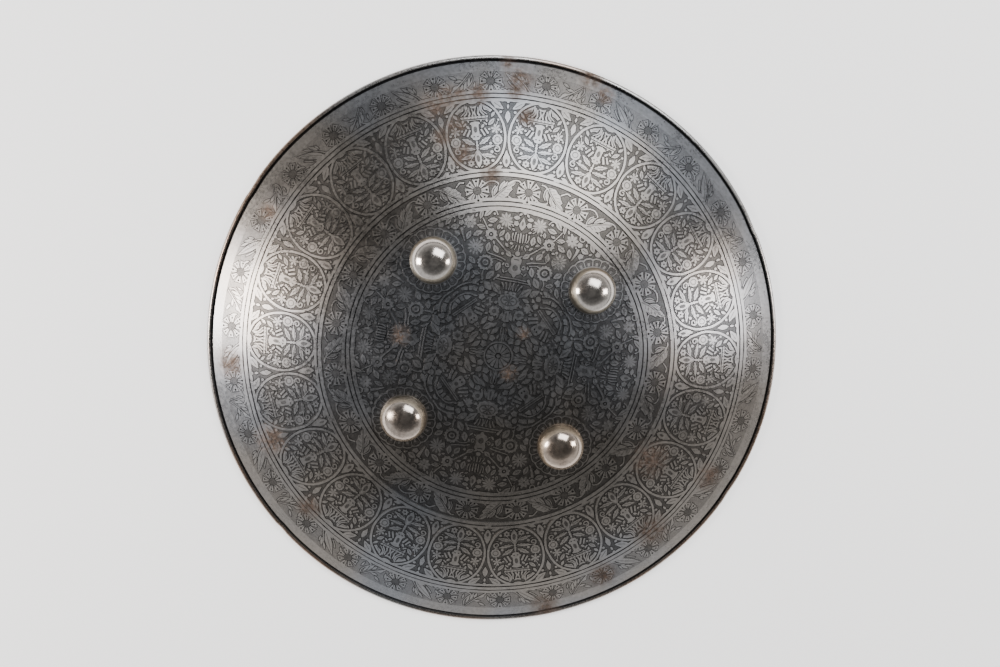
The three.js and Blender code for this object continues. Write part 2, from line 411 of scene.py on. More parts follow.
def rim_leaf_forward():
    """Leaf of the outer band that leans forward, with its lobes below; +y is outward."""
    p = Pattern()
    p.metal(stroke([(-9.6, -5.4), (-4.2, -1.4), (0.7, 2.8), (5.8, 8.3)], 1.2, 0.6))
    p.metal(almond((-4.1, -0.7), (-8.8, -3.8), 2.8))
    p.metal(almond((0, 2.9), (-6, 2.5), 2.1))
    p.metal(almond((-4.2, 4.3), (-9.8, 7.1), 2.1))
    p.metal(almond((-2.8, -5.2), (0, 0.1), 2.1))
    p.metal(almond((0, -5.2), (3.1, 2.5), 2.3))
    p.metal(almond((3.5, -2.4), (5.6, 5.4), 2.1))
    p.metal(stroke([(2.1, -3.1), (5.6, -0.2), (7.7, 4), (7.2, 7.5)], 0.8))
    p.metal(stroke([(2.3, -3.4), (5.3, -5.6), (8.4, -6.1), (12.3, -4.8)], 1.1))
    p.metal(stroke([(-2.8, -6.2), (-7.4, -6.6), (-12, -6.4), (-15.1, -3.8)], 0.8))
    p.metal(almond((-10.9, -3.1), (-12.7, 2.6), 2))
    p.metal(almond((9.1, 1.2), (7.7, -3.8), 1.5))
    return p


def axis_pattern():
    """What stands on each of the field's four axes: a tall vase of flowers over a lotus; +y is outward."""
    p = Pattern()
    h = Pattern()
    # strip of leaves below the band, bud and fan
    h.metal(
        [(2.2, 109), (6.3, 108.8), (10.1, 108.6), (13.5, 108.9), (17.9, 107.6), (20.5, 105.9)]
        + [(16.5, 105.9), (13.5, 105.9), (10.1, 106.5), (6.3, 106.4), (4.1, 107.3)]
    )
    h.metal(almond((2.5, 102.7), (7.9, 102.6), 3.1))
    h.metal(stroke([(6.8, 95.5), (7.6, 97.1), (9.8, 97.1), (10.5, 94.7), (8.3, 93.3)], 0.9))
    h.metal(stroke([(2, 91.3), (2.1, 88.1), (2, 84.8)], 1.1, 0.8))
    h.metal(stroke([(3.9, 92.2), (4.3, 88.4), (3.8, 85.3)], 1, 0.7))
    h.metal(stroke([(6.1, 91.4), (6.2, 88.3), (5, 85.4)], 1, 0.7))
    h.metal(stroke([(2, 82.9), (2.8, 79.1)], 1, 0.5))
    h.metal(stroke([(4.1, 82.1), (5.8, 79.5)], 1.1, 0.6))
    h.metal(oval(6, 83.3, 1.4, 1, 8))
    h.metal(almond((1.1, 74.3), (4.4, 75.5), 1.1))
    # scroll and leaves beside the vase
    h.metal(curl(6, 67.5, 1.9, 0.9, 1.1, 200))
    h.metal(almond((6.9, 61), (9.4, 64), 1.6))
    h.metal(stroke([(4.7, 63.3), (6.5, 62.1)], 0.9))
    # two bars and the fluted crown below them
    h.metal(stroke([(0, 58.1), (9.8, 57.9)], 0.8))
    h.metal(oval(11.4, 58.5, 1.2, 1.3, 8))
    h.metal(stroke([(0, 56), (13.1, 56)], 0.8))
    h.metal(stroke([(1.7, 54.9), (1.1, 52.9), (1.7, 49.1)], 1.1, 0.8))
    h.metal(stroke([(5, 54.9), (3.9, 52.7), (3.5, 49.4)], 1.1, 0.8))
    h.metal(stroke([(7.7, 54.4), (6.2, 52.1), (5.2, 49.6)], 1.2, 0.7))
    h.metal(oval(3, 47.7, 1.6, 0.8, 8, -15))
    h.metal(toothed((6.5, 45.2), (15.3, 52.9), 5.8, 3, 0.5, 0.24))
    h.cut(almond((7.4, 50.7), (8.8, 53.3), 1.2))
    h.fine(stroke([(8.5, 46.9), (13.2, 51.1)], 0.6))
    # edge of the lotus and its sepals
    h.metal(oval(9.4, 38.7, 1.3, sides=7))
    h.metal(almond((2.5, 33.5), (4.7, 26.6), 2.7, 0.6))
    h.metal(almond((5.8, 32.9), (6.9, 26.7), 1.7, 0.6))
    h.metal(stroke([(1.1, 21.7), (1.9, 19.4), (1.1, 10.9)], 0.6))
    p.mirrored(h)
    p.metal(oval(0, 107, 1.3, sides=10))
    p.metal(almond((0, 104.3), (0, 93.9), 5, 0.62, 7))
    p.fine(oval(0, 99, 0.8, 1.7, 8))
    p.metal(stroke([(0, 91.9), (0, 84.6)], 1.3))
    p.metal(stroke([(0, 83.1), (0, 78.7)], 1.1, 0.6))
    p.metal(oval(0, 76.8, 1.8, sides=10))
    p.metal(
        [(0, 74.6), (2.4, 74.3), (3.9, 72.7), (4.1, 70.6), (3.3, 68.3), (3.6, 66.1), (4.9, 64.4)]
        + [(3.8, 62), (1.7, 61), (1.1, 59.6), (0, 58.8), (-1.1, 59.6), (-1.7, 61), (-3.8, 62)]
        + [(-4.9, 64.4), (-3.6, 66.1), (-3.3, 68.3), (-4.1, 70.6), (-3.9, 72.7), (-2.4, 74.3)]
    )
    p.cut(stroke([(-1.9, 72.4), (1.9, 72.4)], 0.6))
    p.fine(oval(0, 66.1, 2, 2.4, 10))
    p.metal(stroke([(0, 52.6), (0, 49.6)], 0.8))
    p.metal(oval(0, 47.4, 1.7, 0.9, 8))
    p.metal([(x, 0.74 * y + 40.9) for x, y in scallops(0, 0, 7.7, 1.1, 14)])
    p.fine(oval(0, 41.5, 6.4, 3.9, 16))
    p.metal(oval(0, 41.6, 5.6, 3.2, 14))
    p.fine(petals(0, 41.5, 8, 0.9, 4.7, 1.3))
    p.metal([(-1.7, 33.7), (1.7, 33.7), (2.8, 26.4), (0, 25.5), (-2.8, 26.4)])
    p.fine(stroke([(0, 32.9), (0, 27.1)], 0.9))
    p.metal(oval(0, 23.4, 1.5, sides=7))
    p.metal(almond((0, 21.6), (0, 10.2), 2, 0.6))
    return p


def wheel_pattern():
    """Wheel of fourteen petals in a ring, at the middle of the shield."""
    p = Pattern()
    p.metal(oval(0, 0, 10.9, sides=30))
    p.floor(0, 0, 9.8, sides=30)
    petal = Pattern()
    petal.metal([(-0.4, 2.4), (0.4, 2.4), (1.6, 8.6), (0, 9.1), (-1.6, 8.6)])
    count = 14
    for i in range(count):
        p.place(petal, turn=360 / count * i)
    p.metal(oval(0, 0, 1.5, sides=10))
    return p


def field_pattern():
    """Flowers, leaves and berries between an axis and the next diagonal; +y is along the axis."""
    p = Pattern()
    # star flowers
    p.metal(petals(12.8, 99.5, 10, 0.9, 5.7, 1.9, 8))
    p.metal(oval(12.8, 99.5, 0.8, sides=6))
    p.metal(petals(31.7, 76.2, 12, 1.7, 6.3, 1.6, 4))
    p.metal(oval(31.7, 76.2, 1.2, sides=7))
    p.cut(oval(31.7, 76.2, 0.5, sides=5))
    p.metal(petals(38.6, 93.2, 8, 1.7, 5, 2.4, 10))
    p.metal(oval(38.6, 93.2, 1.3, sides=7))
    p.cut(oval(38.6, 93.2, 0.6, sides=5))
    p.metal(petals(14.9, 37.9, 7, 0.5, 3.3, 1.7, 10))
    # open flowers
    p.metal(scallops(21.9, 87.2, 3.8, 1.1, 9))
    p.floor(21.9, 87, 1.7, sides=9)
    p.metal(oval(21.9, 87, 0.8, sides=6))
    p.metal(scallops(22.4, 66.1, 5.2, 1, 14))
    p.floor(22.4, 66.1, 3.7, sides=14)
    p.metal(oval(22.4, 66.1, 2.3, sides=12))
    p.fine(oval(22.4, 66.1, 1.3, sides=8))
    p.metal(scallops(9.4, 32.3, 3.3, 0.7, 9))
    p.fine(oval(9.4, 32.3, 1.7, sides=10))
    # stems
    p.metal(stroke([(18.7, 85.3), (15.1, 82.8), (11.3, 79.5), (8.5, 77.4)], 1.1))
    p.metal(stroke([(24.7, 90.3), (27.4, 93.9), (30.2, 98)], 1.1, 0.8))
    p.metal(stroke([(31.2, 96.3), (31.3, 94.7)], 0.7))
    p.metal(stroke([(7.7, 70.6), (11.3, 71.9), (16.5, 72.4), (22, 73.6)], 0.9))
    p.metal(stroke([(9.8, 69.2), (15.6, 70.3), (18.3, 69.1)], 0.7))
    p.metal(stroke([(22.8, 59.9), (23.1, 57.3), (22.7, 54.6)], 1.1))
    p.metal(oval(22.5, 54.1, 1, sides=7))
    p.metal(stroke([(26.7, 90.8), (29, 90.2), (31.5, 90.3)], 0.6))
    # leaves, from the band inwards
    leaves = (
        ((18.7, 99), (26.3, 96.4), 4.1),
        ((23.9, 106.2), (29.4, 99), 3.9),
        ((31.3, 104.2), (31.8, 96.6), 3.1),
        ((34.8, 101.5), (40.1, 102.3), 3),
        ((12.4, 92.2), (15.7, 86.4), 3.1),
        ((10.1, 91.3), (9.1, 84), 4.2),
        ((16.7, 95.7), (17.9, 91.4), 2.8),
        ((28.3, 88.4), (34.8, 83.7), 4.1),
        ((27, 91.9), (33.7, 91.9), 2.7),
        ((37.1, 87.2), (38.9, 79.9), 3.9),
        ((45.9, 89.1), (52.4, 85.9), 4.6),
        ((52.7, 94.2), (56.3, 87.2), 3.6),
        ((9.3, 77.7), (4.1, 73.8), 3.8),
        ((18.4, 80.1), (14.2, 74.3), 4.4),
        ((22.2, 81.3), (22.4, 73.8), 4.2),
        ((11.8, 68.8), (13.7, 61.2), 4.6),
        ((29.3, 63.9), (35.6, 68.3), 4.4),
        ((14.9, 61.4), (19.8, 54), 5.2),
        ((24.4, 57), (30.4, 58.4), 3.8),
        ((32.3, 57.3), (35.4, 49.1), 3.9),
        ((14, 47.4), (21.1, 52.6), 4.6),
    )
    for start, end, width in leaves:
        p.metal(almond(start, end, width))
        p.fine(stroke([along(start, end, 0.25, 0), along(start, end, 0.75, 0)], 0.5))
    p.metal(stroke([(44.2, 88.4), (43.1, 84.8), (41.4, 81.3), (40, 78.5)], 2.4, 0.6))
    p.metal(stroke([(54.4, 93.8), (58.8, 91.4), (62.8, 89.1), (66.2, 86.2)], 1.4, 2))
    p.metal(almond((9.6, 44.7), (15.3, 43), 2.7))
    p.metal(almond((16.5, 46.3), (19.2, 43.3), 2))
    p.metal(almond((23.9, 53), (29.9, 49.9), 3.5))
    p.metal(oval(21.3, 46.6, 1.9, 2.2, 9))
    p.metal(almond((12.3, 41.7), (16.2, 41.1), 1.6))
    p.metal(almond((11.3, 58.7), (14.5, 54.1), 1.6))
    p.metal(almond((27.2, 71.6), (26.1, 77.9), 1.7))
    p.metal(almond((5, 24.4), (11, 19.4), 3.1))
    p.metal(almond((3.3, 21.2), (8.5, 14.9), 3.6))
    p.metal(almond((2.5, 16.5), (3.5, 11.8), 1.7))
    # scrolls and berries
    p.metal(stroke([(19.2, 101.8), (20.8, 104.3), (23.1, 104.8), (25.2, 102.9)], 0.9))
    p.metal(curl(46.3, 96.1, 2.8, 1, 1.0, 120))
    p.metal(stroke([(48.8, 98.2), (50.5, 96.4), (50.2, 93.9)], 0.9))
    for x, y, r in ((22, 102.3, 1), (14.8, 93.2, 0.9), (28.5, 82.8, 1.2), (37.4, 97.9, 0.9)):
        p.metal(oval(x, y, r, sides=7))
    p.metal(oval(11, 75, 1.2, sides=7), oval(42.3, 88.9, 0.8, sides=7))
    return p


def diagonal_pattern():
    """Cartouche on each diagonal, below a boss: a vase under a hatched crown in an arched frame."""
    p = Pattern()
    h = Pattern()
    h.metal(stroke([(-17.8, 51.6), (-14.2, 56.1), (-7.8, 58.9), (-0.9, 59)], 1.2))
    h.metal([(-16, 50.3), (-14, 53.2), (-11.2, 55.2), (-9.4, 52.7), (-11.9, 51.1), (-13.6, 48.8)])
    h.metal([(-10.5, 55.4), (-7.5, 56.9), (-5.4, 57.1), (-5.1, 54.9), (-6.9, 54.3), (-8.6, 53)])
    h.metal(stroke([(-12.3, 45.7), (-10.3, 47.6), (-9, 50), (-5.9, 52.2), (-3, 52.8), (0.1, 53.3)], 1.1))
    h.metal([(-8.3, 47.5), (-7, 49.7), (-4.4, 51.8), (-3.7, 48.2), (-4.4, 47.2)])
    h.metal([(-3.4, 51.9), (-0.3, 52.4), (-0.6, 48.6), (-2.4, 48.1)])
    h.metal(almond((-23.1, 43.1), (-22.1, 51.7), 4.4))
    h.metal(oval(-17.5, 48.1, 2, sides=9))
    h.metal(almond((-18.7, 42.4), (-19.2, 45.1), 2))
    h.metal(petals(-16.5, 37.4, 7, 0.6, 3.1, 1.6, 12))
    h.metal(oval(-9.4, 39.7, 1.2, sides=7))
    h.metal(almond((-12.1, 39.7), (-15, 39.5), 1.4))
    h.metal(stroke([(-10.1, 33.5), (-8.3, 36.8), (-5.9, 39.8)], 1.9, 1.6))
    h.metal(stroke([(-7.2, 32.1), (-5.8, 34.7), (-4.1, 38.3)], 1.7, 1.4))
    h.metal(almond((-2.5, 27), (-10.1, 29), 3.6))
    h.metal(almond((-1.4, 23.3), (-10.5, 22.9), 4.4))
    h.fine(stroke([(-3.4, 23.5), (-8.1, 23.3)], 0.6))
    p.mirrored(h)
    p.metal(stroke([(-10.8, 43.7), (10.6, 43.7)], 2.4))
    p.fine(stroke([(-10.3, 43.7), (10.1, 43.7)], 1.2))
    p.metal(
        [(-4.7, 42.1), (-0.1, 42.2), (4.5, 42.1), (2.8, 39.9), (3.2, 37.3), (3.7, 35.5), (3.7, 34.2)]
        + [(3.7, 31.9), (2.4, 30.6), (0.1, 30.6), (-2.3, 30.6), (-3.7, 31.9), (-3.6, 34.2)]
        + [(-3.6, 35.5), (-3.2, 37.3), (-2.8, 39.9)]
    )
    p.cut(oval(-1.2, 33.3, 0.7, sides=6), oval(1.2, 33.3, 0.7, sides=6))
    p.fine(oval(0, 37.4, 1.7, sides=10))
    p.metal(oval(0, 26.2, 0.8, sides=7))
    p.metal(almond((0, 24.6), (0, 20.9), 2))
    p.metal(almond((0, 20), (0, 14.7), 4.1))
    return p


def both_sides(right):
    """Closed outline from its right half, which runs outwards."""
    return [*right, *[(-x, y) for x, y in reversed(right)]]


def keyhole_flower(hub, reach, width):
    """Flower of eight keyhole petals, each split by a dark slit, round a stippled middle."""
    p = Pattern()
    count = 8
    for i in range(count):
        side = width * (1.0 if i % 2 == 0 else 0.86)
        petal = Pattern()
        half = [(0.2 * side, hub), (0.42 * side, reach * 0.84)]
        half += [(0.54 * side, reach), (0.3 * side, reach * 0.97)]
        petal.metal(both_sides(half))
        petal.cut(oval(0, reach * 0.8, 0.18 * side, 0.18 * side, 6))
        petal.cut([(-0.24, hub), (0.24, hub), (0.12, reach * 0.74), (-0.12, reach * 0.74)])
        p.place(petal, turn=360 / count * i)
    p.fine(oval(0, 0, hub * 0.94, sides=12))
    return p


def boss_border():
    """Ring of arched cells round a boss, each a thin dark line round stippled ground and a small tongue."""
    p = Pattern()
    half = math.pi / BORDER_CELLS
    inner, outer = 17.9, BOSS_BORDER - 1.3
    p.metal(scallops(0, 0, BOSS_BORDER - 0.9, 0.9, BORDER_CELLS, 3))
    narrow, wide = inner * math.tan(half) - 0.45, outer * math.tan(half) - 0.6

    def arch(inset):
        side, shoulder, top = wide - inset, outer - 1.2 - inset / 2, outer - inset
        return both_sides([(narrow - inset, inner), (side, shoulder), (0.55 * side, top)])

    cell = Pattern()
    cell.cut(arch(0.0))
    cell.fine(arch(0.4))
    cell.metal([(-0.8, inner + 0.3), (0.8, inner + 0.3), (0.9, outer - 2.4), (-0.9, outer - 2.4)])
    for i in range(BORDER_CELLS):
        p.place(cell, turn=math.degrees(2 * half * (i + 0.5)))
    return p


def at(radius, azimuth):
    """Point of the plan at that radius and azimuth, and the turn that points +y outward there."""
    angle = math.radians(azimuth)
    return {"x": radius * math.cos(angle), "y": radius * math.sin(angle), "turn": azimuth - 90}


def draw_bands(p):
    """Three raised fillets, each in a dark groove, with a lip of plain metal outside and, on two, inside."""
    for radius, outside, lip_inside, sides in (
        (BANDS[2], 4.6, (-2.0, -4.2), 154),
        (BANDS[1], 4.2, None, 110),
        (BANDS[0], 4.6, (-2.0, -4.8), 88),
    ):
        p.metal(oval(0, 0, radius + outside, sides=sides))
        p.floor(0, 0, radius + BAND_GROOVE, sides=sides)
        p.add(METAL, oval(0, 0, radius + BAND_HALF, sides=sides), lift=BAND_LIFT)
        ground = -BAND_HALF
        if lip_inside:
            lip, ground = lip_inside
            p.cut(oval(0, 0, radius - BAND_HALF, sides=sides))
            p.metal(oval(0, 0, radius + lip, sides=sides))
        p.floor(0, 0, radius + ground, sides=sides)


def cells_over(outline, axis, origin, pitch, most):
    """Rows or columns of a grid that an outline spans along one axis."""
    values = [point[axis] for point in outline]
    first = max(0, int((min(values) - origin) / pitch))
    last = min(most, int((max(values) - origin) / pitch) + 2)
    return range(first, last)


def gaps_between(pattern, low, high, pitch):
    """Distance to the nearest metal for each point of a grid over a box, as {(column, row): distance}."""
    columns, rows = int((high[0] - low[0]) / pitch), int((high[1] - low[1]) / pitch)
    taken = {}
    for points, level, _ in pattern.shapes:
        for row in cells_over(points, 1, low[1], pitch, rows):
            for column in cells_over(points, 0, low[0], pitch, columns):
                if inside((low[0] + column * pitch, low[1] + row * pitch), points):
                    taken[column, row] = level != GROUND
    metal = KDTree(len(taken))
    for number, (place, solid) in enumerate(taken.items()):
        if solid:
            metal.insert((*place, 0), number)
    metal.balance()
    cells = [(column, row) for column in range(columns) for row in range(rows)]
    return {cell: 0.0 if taken.get(cell) else metal.find((*cell, 0))[2] * pitch for cell in cells}


def fill_gaps(pattern, low, high, accepts, seed, most):
    """Small leaves and flowers for the open places of a pattern, in a box and where the test accepts them."""
    pitch, smallest, largest, flower_size = 0.7, 1.65, 3.6, 2.2
    rng = random.Random(seed)
    fill = Pattern()
    gaps = gaps_between(pattern, low, high, pitch)
    spots = sorted(((gap, *cell) for cell, gap in gaps.items() if gap > smallest), reverse=True)
    placed = []
    for gap, column, row in spots:
        x, y = low[0] + column * pitch, low[1] + row * pitch
        near = min((math.hypot(x - u, y - v) - reach for u, v, reach in placed), default=largest)
        clear = min(gap, near, largest)
        if clear < smallest or not accepts(x, y) or len(placed) >= most:
            continue
        size = clear - LINE
        turn = rng.uniform(0, math.pi)
        placed.append((x, y, clear))
        reach = (size * math.cos(turn), size * math.sin(turn))
        if size > flower_size:
            fill.metal(scallops(x, y, 0.74 * size, 0.26 * size, 5))
        else:
            start, end = (x - reach[0], y - reach[1]), (x + reach[0], y + reach[1])
            fill.metal(almond(start, end, 1.1 * size, steps=3))
    return fill


def field_fill(field, axis, diagonal):
    """Small leaves and berries between the motifs of one half quarter of the middle field."""
    p = Pattern()
    p.place(field)
    p.place(axis)
    p.place(diagonal, turn=-45)
    p.place(wheel_pattern())
    near = at(BOSS_RADIUS, 45)
    wheel_edge, band_edge, boss_edge = 13, 105.5, BOSS_BORDER + 2
    axis_gap, degree = 0.6, 0.0175

    def accepts(x, y):
        reach, side = math.hypot(x, y), math.degrees(math.atan2(x, y))
        away = math.hypot(x - near["x"], y - near["y"])
        in_sector = axis_gap < side * reach * degree and side < 45
        return wheel_edge < reach < band_edge and in_sector and away > boss_edge

    return fill_gaps(p, (0, 6), (78, 108), accepts, 5, 26)


def draw_outer_band(p):
    """Flowers beside the rim, with leaves that lean back and forward by turns between them."""
    flower = keyhole_flower(3.3, 8.5, 4.8)
    leaves = (rim_leaf(), rim_leaf_forward())
    step = 360 / OUTER_FLOWERS
    for i in range(OUTER_FLOWERS):
        p.place(flower, **at(OUTER_FLOWER_RADIUS, step * (i + 0.5)))
        p.place(leaves[i % 2], **at(OUTER_LEAF_RADIUS, step * i))


def draw_roundels(p):
    """Raised roundels side by side, over the leaves in the corners between them."""

    def accepts(x, y):
        return math.hypot(x / 20.2, y / 24.8) < 0.97 and x > 1.0

    roundel, spandrel = roundel_pattern(), roundel_spandrels()
    roundel.mirrored(fill_gaps(roundel, (0, -26), (22, 26), accepts, 3, 3))
    step = 360 / ROUNDELS
    for i in range(ROUNDELS):
        p.place(spandrel, **at(ROUNDEL_RADIUS, step * i))
    for i in range(ROUNDELS):
        p.place(roundel, **at(ROUNDEL_RADIUS, step * (i + 0.5)), lift=ROUNDEL_LIFT)


def draw_inner_band(p):
    """Flowers between the two inner fillets, with a leaf between them that points in and out by turns."""
    flower = keyhole_flower(3.1, 8.9, 5.4)
    leaf = band_leaf()
    step = 360 / INNER_FLOWERS
    for i in range(INNER_FLOWERS):
        p.place(flower, **at(INNER_FLOWER_RADIUS, step * i))
        place = at(INNER_FLOWER_RADIUS, step * (i + 0.5))
        if i % 2:
            p.place(leaf, **place)
        else:
            p.place(leaf, **{**place, "turn": place["turn"] + 180}, flip=True)


def draw_field(p):
    """Middle of the shield: the field in four mirrored quarters, the wheel, and the borders of the bosses."""
    field, axis, diagonal = field_pattern(), axis_pattern(), diagonal_pattern()
    field.place(field_fill(field, axis, diagonal))
    for i in range(BOSS_COUNT):
        p.place(field, turn=90 * i)
        p.place(field, turn=90 * i, flip=True)
    for i in range(BOSS_COUNT):
        p.place(axis, turn=90 * i)
        p.place(diagonal, turn=90 * i - 45)
    p.place(wheel_pattern())
    for i in range(BOSS_COUNT):
        place = at(BOSS_RADIUS, 90 * i + 45)
        p.add(GROUND, oval(place["x"], place["y"], BOSS_BORDER + 0.8, sides=36))
        p.place(boss_border(), **place)


def shield_drawing():
    """All of the outer face, in plan, from the groove beside the rim to the middle."""
    p = Pattern()
    p.metal(oval(0, 0, GROOVE, sides=RIM_SIDES))
    p.add(SHALLOW, oval(0, 0, SHALLOW_RADIUS, sides=154))
    for draw in (draw_bands, draw_outer_band, draw_roundels, draw_inner_band, draw_field):
        draw(p)
    return p


def dome_point(x, y, depth):
    """Point of the shield over a point of the plan, in millimetres, that far above the outer face."""
    radius = math.hypot(x, y)
    sway = rim_sway(math.atan2(y, x)) * smooth_step(radius, 0.88 * RIM, 0.97 * RIM)
    scale = 1 + sway / max(radius, 1.0)
    x, y = x * scale, y * scale
    up = math.sqrt(SPHERE_RADIUS**2 - x * x - y * y)
    reach = depth + dents(x, y)
    share = 1 + reach / SPHERE_RADIUS
    return Vector((x * share, y * share, SPHERE_CENTRE + up * share))


def smooth_step(value, low, high):
    """Rise from 0 to 1 between two values, level at both ends."""
    share = min(max((value - low) / (high - low), 0.0), 1.0)
    return share * share * (3 - 2 * share)


def rim_sway(angle):
    """How far the rim stands in from its circle, in millimetres: it was never quite round, and is nicked."""
    place = Vector((math.cos(angle) * 2.6, math.sin(angle) * 2.6, 5.0))
    nicks = 0.0
    for azimuth, depth in RIM_NICKS:
        away = (math.degrees(angle) - azimuth + 180) % 360 - 180
        nicks += depth * math.exp(-((away / NICK_WIDTH) ** 2))
    return -0.3 - 0.3 * noise.noise(place) - nicks


def dents(x, y):
    """Shallow hammer work over the whole sheet, fading at the rim and under the bosses."""
    place = Vector((x / 46, y / 46, 2.0))
    fine = Vector((x / 17, y / 17, 8.0))
    fade = 1 - smooth_step(math.hypot(x, y), 0.9 * RIM, 0.96 * RIM)
    return (0.22 * noise.noise(place) + 0.05 * noise.noise(fine)) * fade


def wander(x, y):
    """Moves a point of the drawing a little, as the hand that cut it did."""
    fade = 1 - smooth_step(math.hypot(x, y), 0.9 * RIM, 0.93 * RIM)
    move = noise.noise_vector(Vector((x / 7, y / 7, 1.0))) * 0.35 * fade
    return x + move.x, y + move.y


def hex_grid(reach, spacing):
    """Points of a triangular grid inside a circle round the axis."""
    rows = int(reach / (spacing * math.sqrt(0.75))) + 1
    points = []
    for row in range(-rows, rows + 1):
        y = row * spacing * math.sqrt(0.75)
        for column in range(-rows - 1, rows + 2):
            x = (column + 0.5 * (row % 2)) * spacing
            if math.hypot(x, y) < reach:
                points.append((x, y))
    return points


def edges_of(tri):
    """The three edges of a triangle, each as a pair of its corners."""
    return zip(tri, (*tri[1:], tri[0]))


def plan_triangles(points, edges, outlines):
    """Delaunay triangles of the plan, with the edges they keep and the outlines that cover each of them."""
    flat = [Vector(p) for p in points]
    whole = 1 if outlines else 0
    places, kept, triangles, _, kept_from, owners = delaunay_2d_cdt(flat, edges, outlines, whole, 1e-4, True)
    return places, triangles, owners, [(edge, found) for edge, found in zip(kept, kept_from) if found]


def fill_plan(outlines, extra):
    """Triangles inside the outlines and, for each of them, the numbers of the outlines that cover it."""
    points, faces = [], []
    for outline in outlines:
        faces.append(list(range(len(points), len(points) + len(outline))))
        points.extend(outline)
    places, triangles, owners, _ = plan_triangles([*points, *extra], [], faces)
    return places, triangles, owners


def inside(point, outline):
    """Whether a point of the plan lies within an outline."""
    x, y = point
    within = False
    for (ax, ay), (bx, by) in zip(outline, outline[1:] + outline[:1]):
        if (ay > y) != (by > y) and x < ax + (y - ay) / (by - ay) * (bx - ax):
            within = not within
    return within


def with_lines(drawing):
    """Outlines of the drawing, each piece of metal over a wider shape that leaves a dark line round it."""
    shapes = []
    for points, level, lift in drawing.shapes:
        if len(points) < STEADY_SIDES:
            points = [wander(*p) for p in points]
        if level == METAL:
            shapes.append((grown(points, LINE), INK, lift))
        shapes.append((points, level, lift))
    return shapes


def look_of(middle, owner, shapes, doubtful):
    """Level and lift of a part of the plan, from the shapes that cover it, in the order they were drawn."""
    level, lift = GROUND, 0.0
    for number in sorted(owner):
        points, new, new_lift = shapes[number]
        if new == INK:
            if level in (METAL, FINE) or (number in doubtful and not inside(middle, points)):
                continue
            level = INK
        elif new == EDGE:
            level = INK
        else:
            level, lift = new, new_lift
    return level, 0.0 if level == INK else lift


def area_of(points):
    """Area inside an outline, positive where its inside is on its left."""
    return sum(p[0] * q[1] - q[0] * p[1] for p, q in zip(points, [*points[1:], points[0]])) / 2


def looks_of(places, triangles, owners, shapes):
    """Look of each triangle. Shapes that cross themselves are tested point by point."""
    covered = [0.0] * len(shapes)
    for tri, owner in zip(triangles, owners):
        area = area_of([places[k] for k in tri])
        for number in owner:
            covered[number] += area
    most = [1.02 * abs(area_of(points)) + 0.02 for points, _, _ in shapes]
    doubtful = {i for i, area in enumerate(covered) if area > most[i]}
    looks = []
    for tri, owner in zip(triangles, owners):
        middle = sum((places[k] for k in tri), Vector((0, 0))) / 3
        looks.append(look_of(middle, owner, shapes, doubtful))
    return looks


def left_of_edges(triangles):
    """Number of the triangle to the left of each directed edge."""
    return {edge: i for i, tri in enumerate(triangles) for edge in edges_of(tri)}


def borders_of(triangles, looks):
    """Edges between different looks, each with the looks on its left and right."""
    beside = left_of_edges(triangles)
    borders = {}
    for (k, j), i in beside.items():
        other = beside.get((j, k))
        right = None if other is None else looks[other]
        if looks[i] != right and (j, k) not in borders:
            borders[k, j] = (looks[i], right)
    return borders


def straightened(borders, places, slack):
    """Leaves out the corners of the borders that lie within a small distance of a straight line."""
    near = {}
    for k, j in borders:
        near.setdefault(k, []).append(j)
        near.setdefault(j, []).append(k)
    locked = set()
    for v, ends in near.items():
        if len(ends) != 2 or v in locked or Vector(places[v]).length > GROOVE - 0.5:
            continue
        a, b = ends
        if a in locked or b in locked or b in near[a]:
            continue
        if (a, v) in borders and (v, b) in borders:
            first, second = (a, v), (v, b)
        elif (b, v) in borders and (v, a) in borders:
            first, second = (b, v), (v, a)
        else:
            continue
        if borders[first] != borders[second] or HOLE in (borders[first][0][0], borders[first][1][0]):
            continue
        along_it = places[b] - places[a]
        away = abs(along_it.x * (places[v].y - places[a].y) - along_it.y * (places[v].x - places[a].x))
        if away > slack * along_it.length:
            continue
        borders[first[0], second[1]] = borders[first]
        del borders[first], borders[second]
        near[a][near[a].index(v)] = b
        near[b][near[b].index(v)] = a
        locked.update((a, b, v))
    return borders


def redrawn(places, borders, extra):
    """Triangles between the borders alone, and the look of each of them."""
    used = sorted({k for edge in borders for k in edge})
    number = {k: i for i, k in enumerate(used)}
    edges = list(borders)
    points = [places[k] for k in used]
    pairs = [(number[k], number[j]) for k, j in edges]
    new_places, triangles, _, kept = plan_triangles([*points, *extra], pairs, [])
    beside = left_of_edges(triangles)
    looks, walls = [None] * len(triangles), set()
    waiting = []
    for (k, j), found in kept:
        walls.update(((k, j), (j, k)))
        start, end = edges[found[0]]
        left, right = borders[edges[found[0]]]
        if (new_places[j] - new_places[k]).dot(places[end] - places[start]) < 0:
            k, j = j, k
        for edge, look in (((k, j), left), ((j, k), right)):
            i = beside.get(edge)
            if i is not None and look is not None and looks[i] is None:
                looks[i] = look
                waiting.append(i)
    while waiting:
        i = waiting.pop()
        tri = triangles[i]
        for k, j in edges_of(tri):
            other = beside.get((j, k))
            if other is not None and (k, j) not in walls and looks[other] is None:
                looks[other] = looks[i]
                waiting.append(other)
    return new_places, triangles, looks


def boss_holes(shrink=0.0):
    """Outlines of the four shank holes in the plan, on the sphere that far below the outer face."""
    lean = math.asin(BOSS_RADIUS / SPHERE_RADIUS)
    outlines = []
    for i in range(BOSS_COUNT):
        angle = math.pi / 2 * (i + 0.5)
        reach = BOSS_RADIUS - shrink * math.sin(lean)
        x, y = reach * math.cos(angle), reach * math.sin(angle)
        half_down = HOLE_RADIUS * math.cos(lean)
        outlines.append(oval(x, y, half_down, HOLE_RADIUS, HOLE_SIDES, math.degrees(angle)))
    return outlines


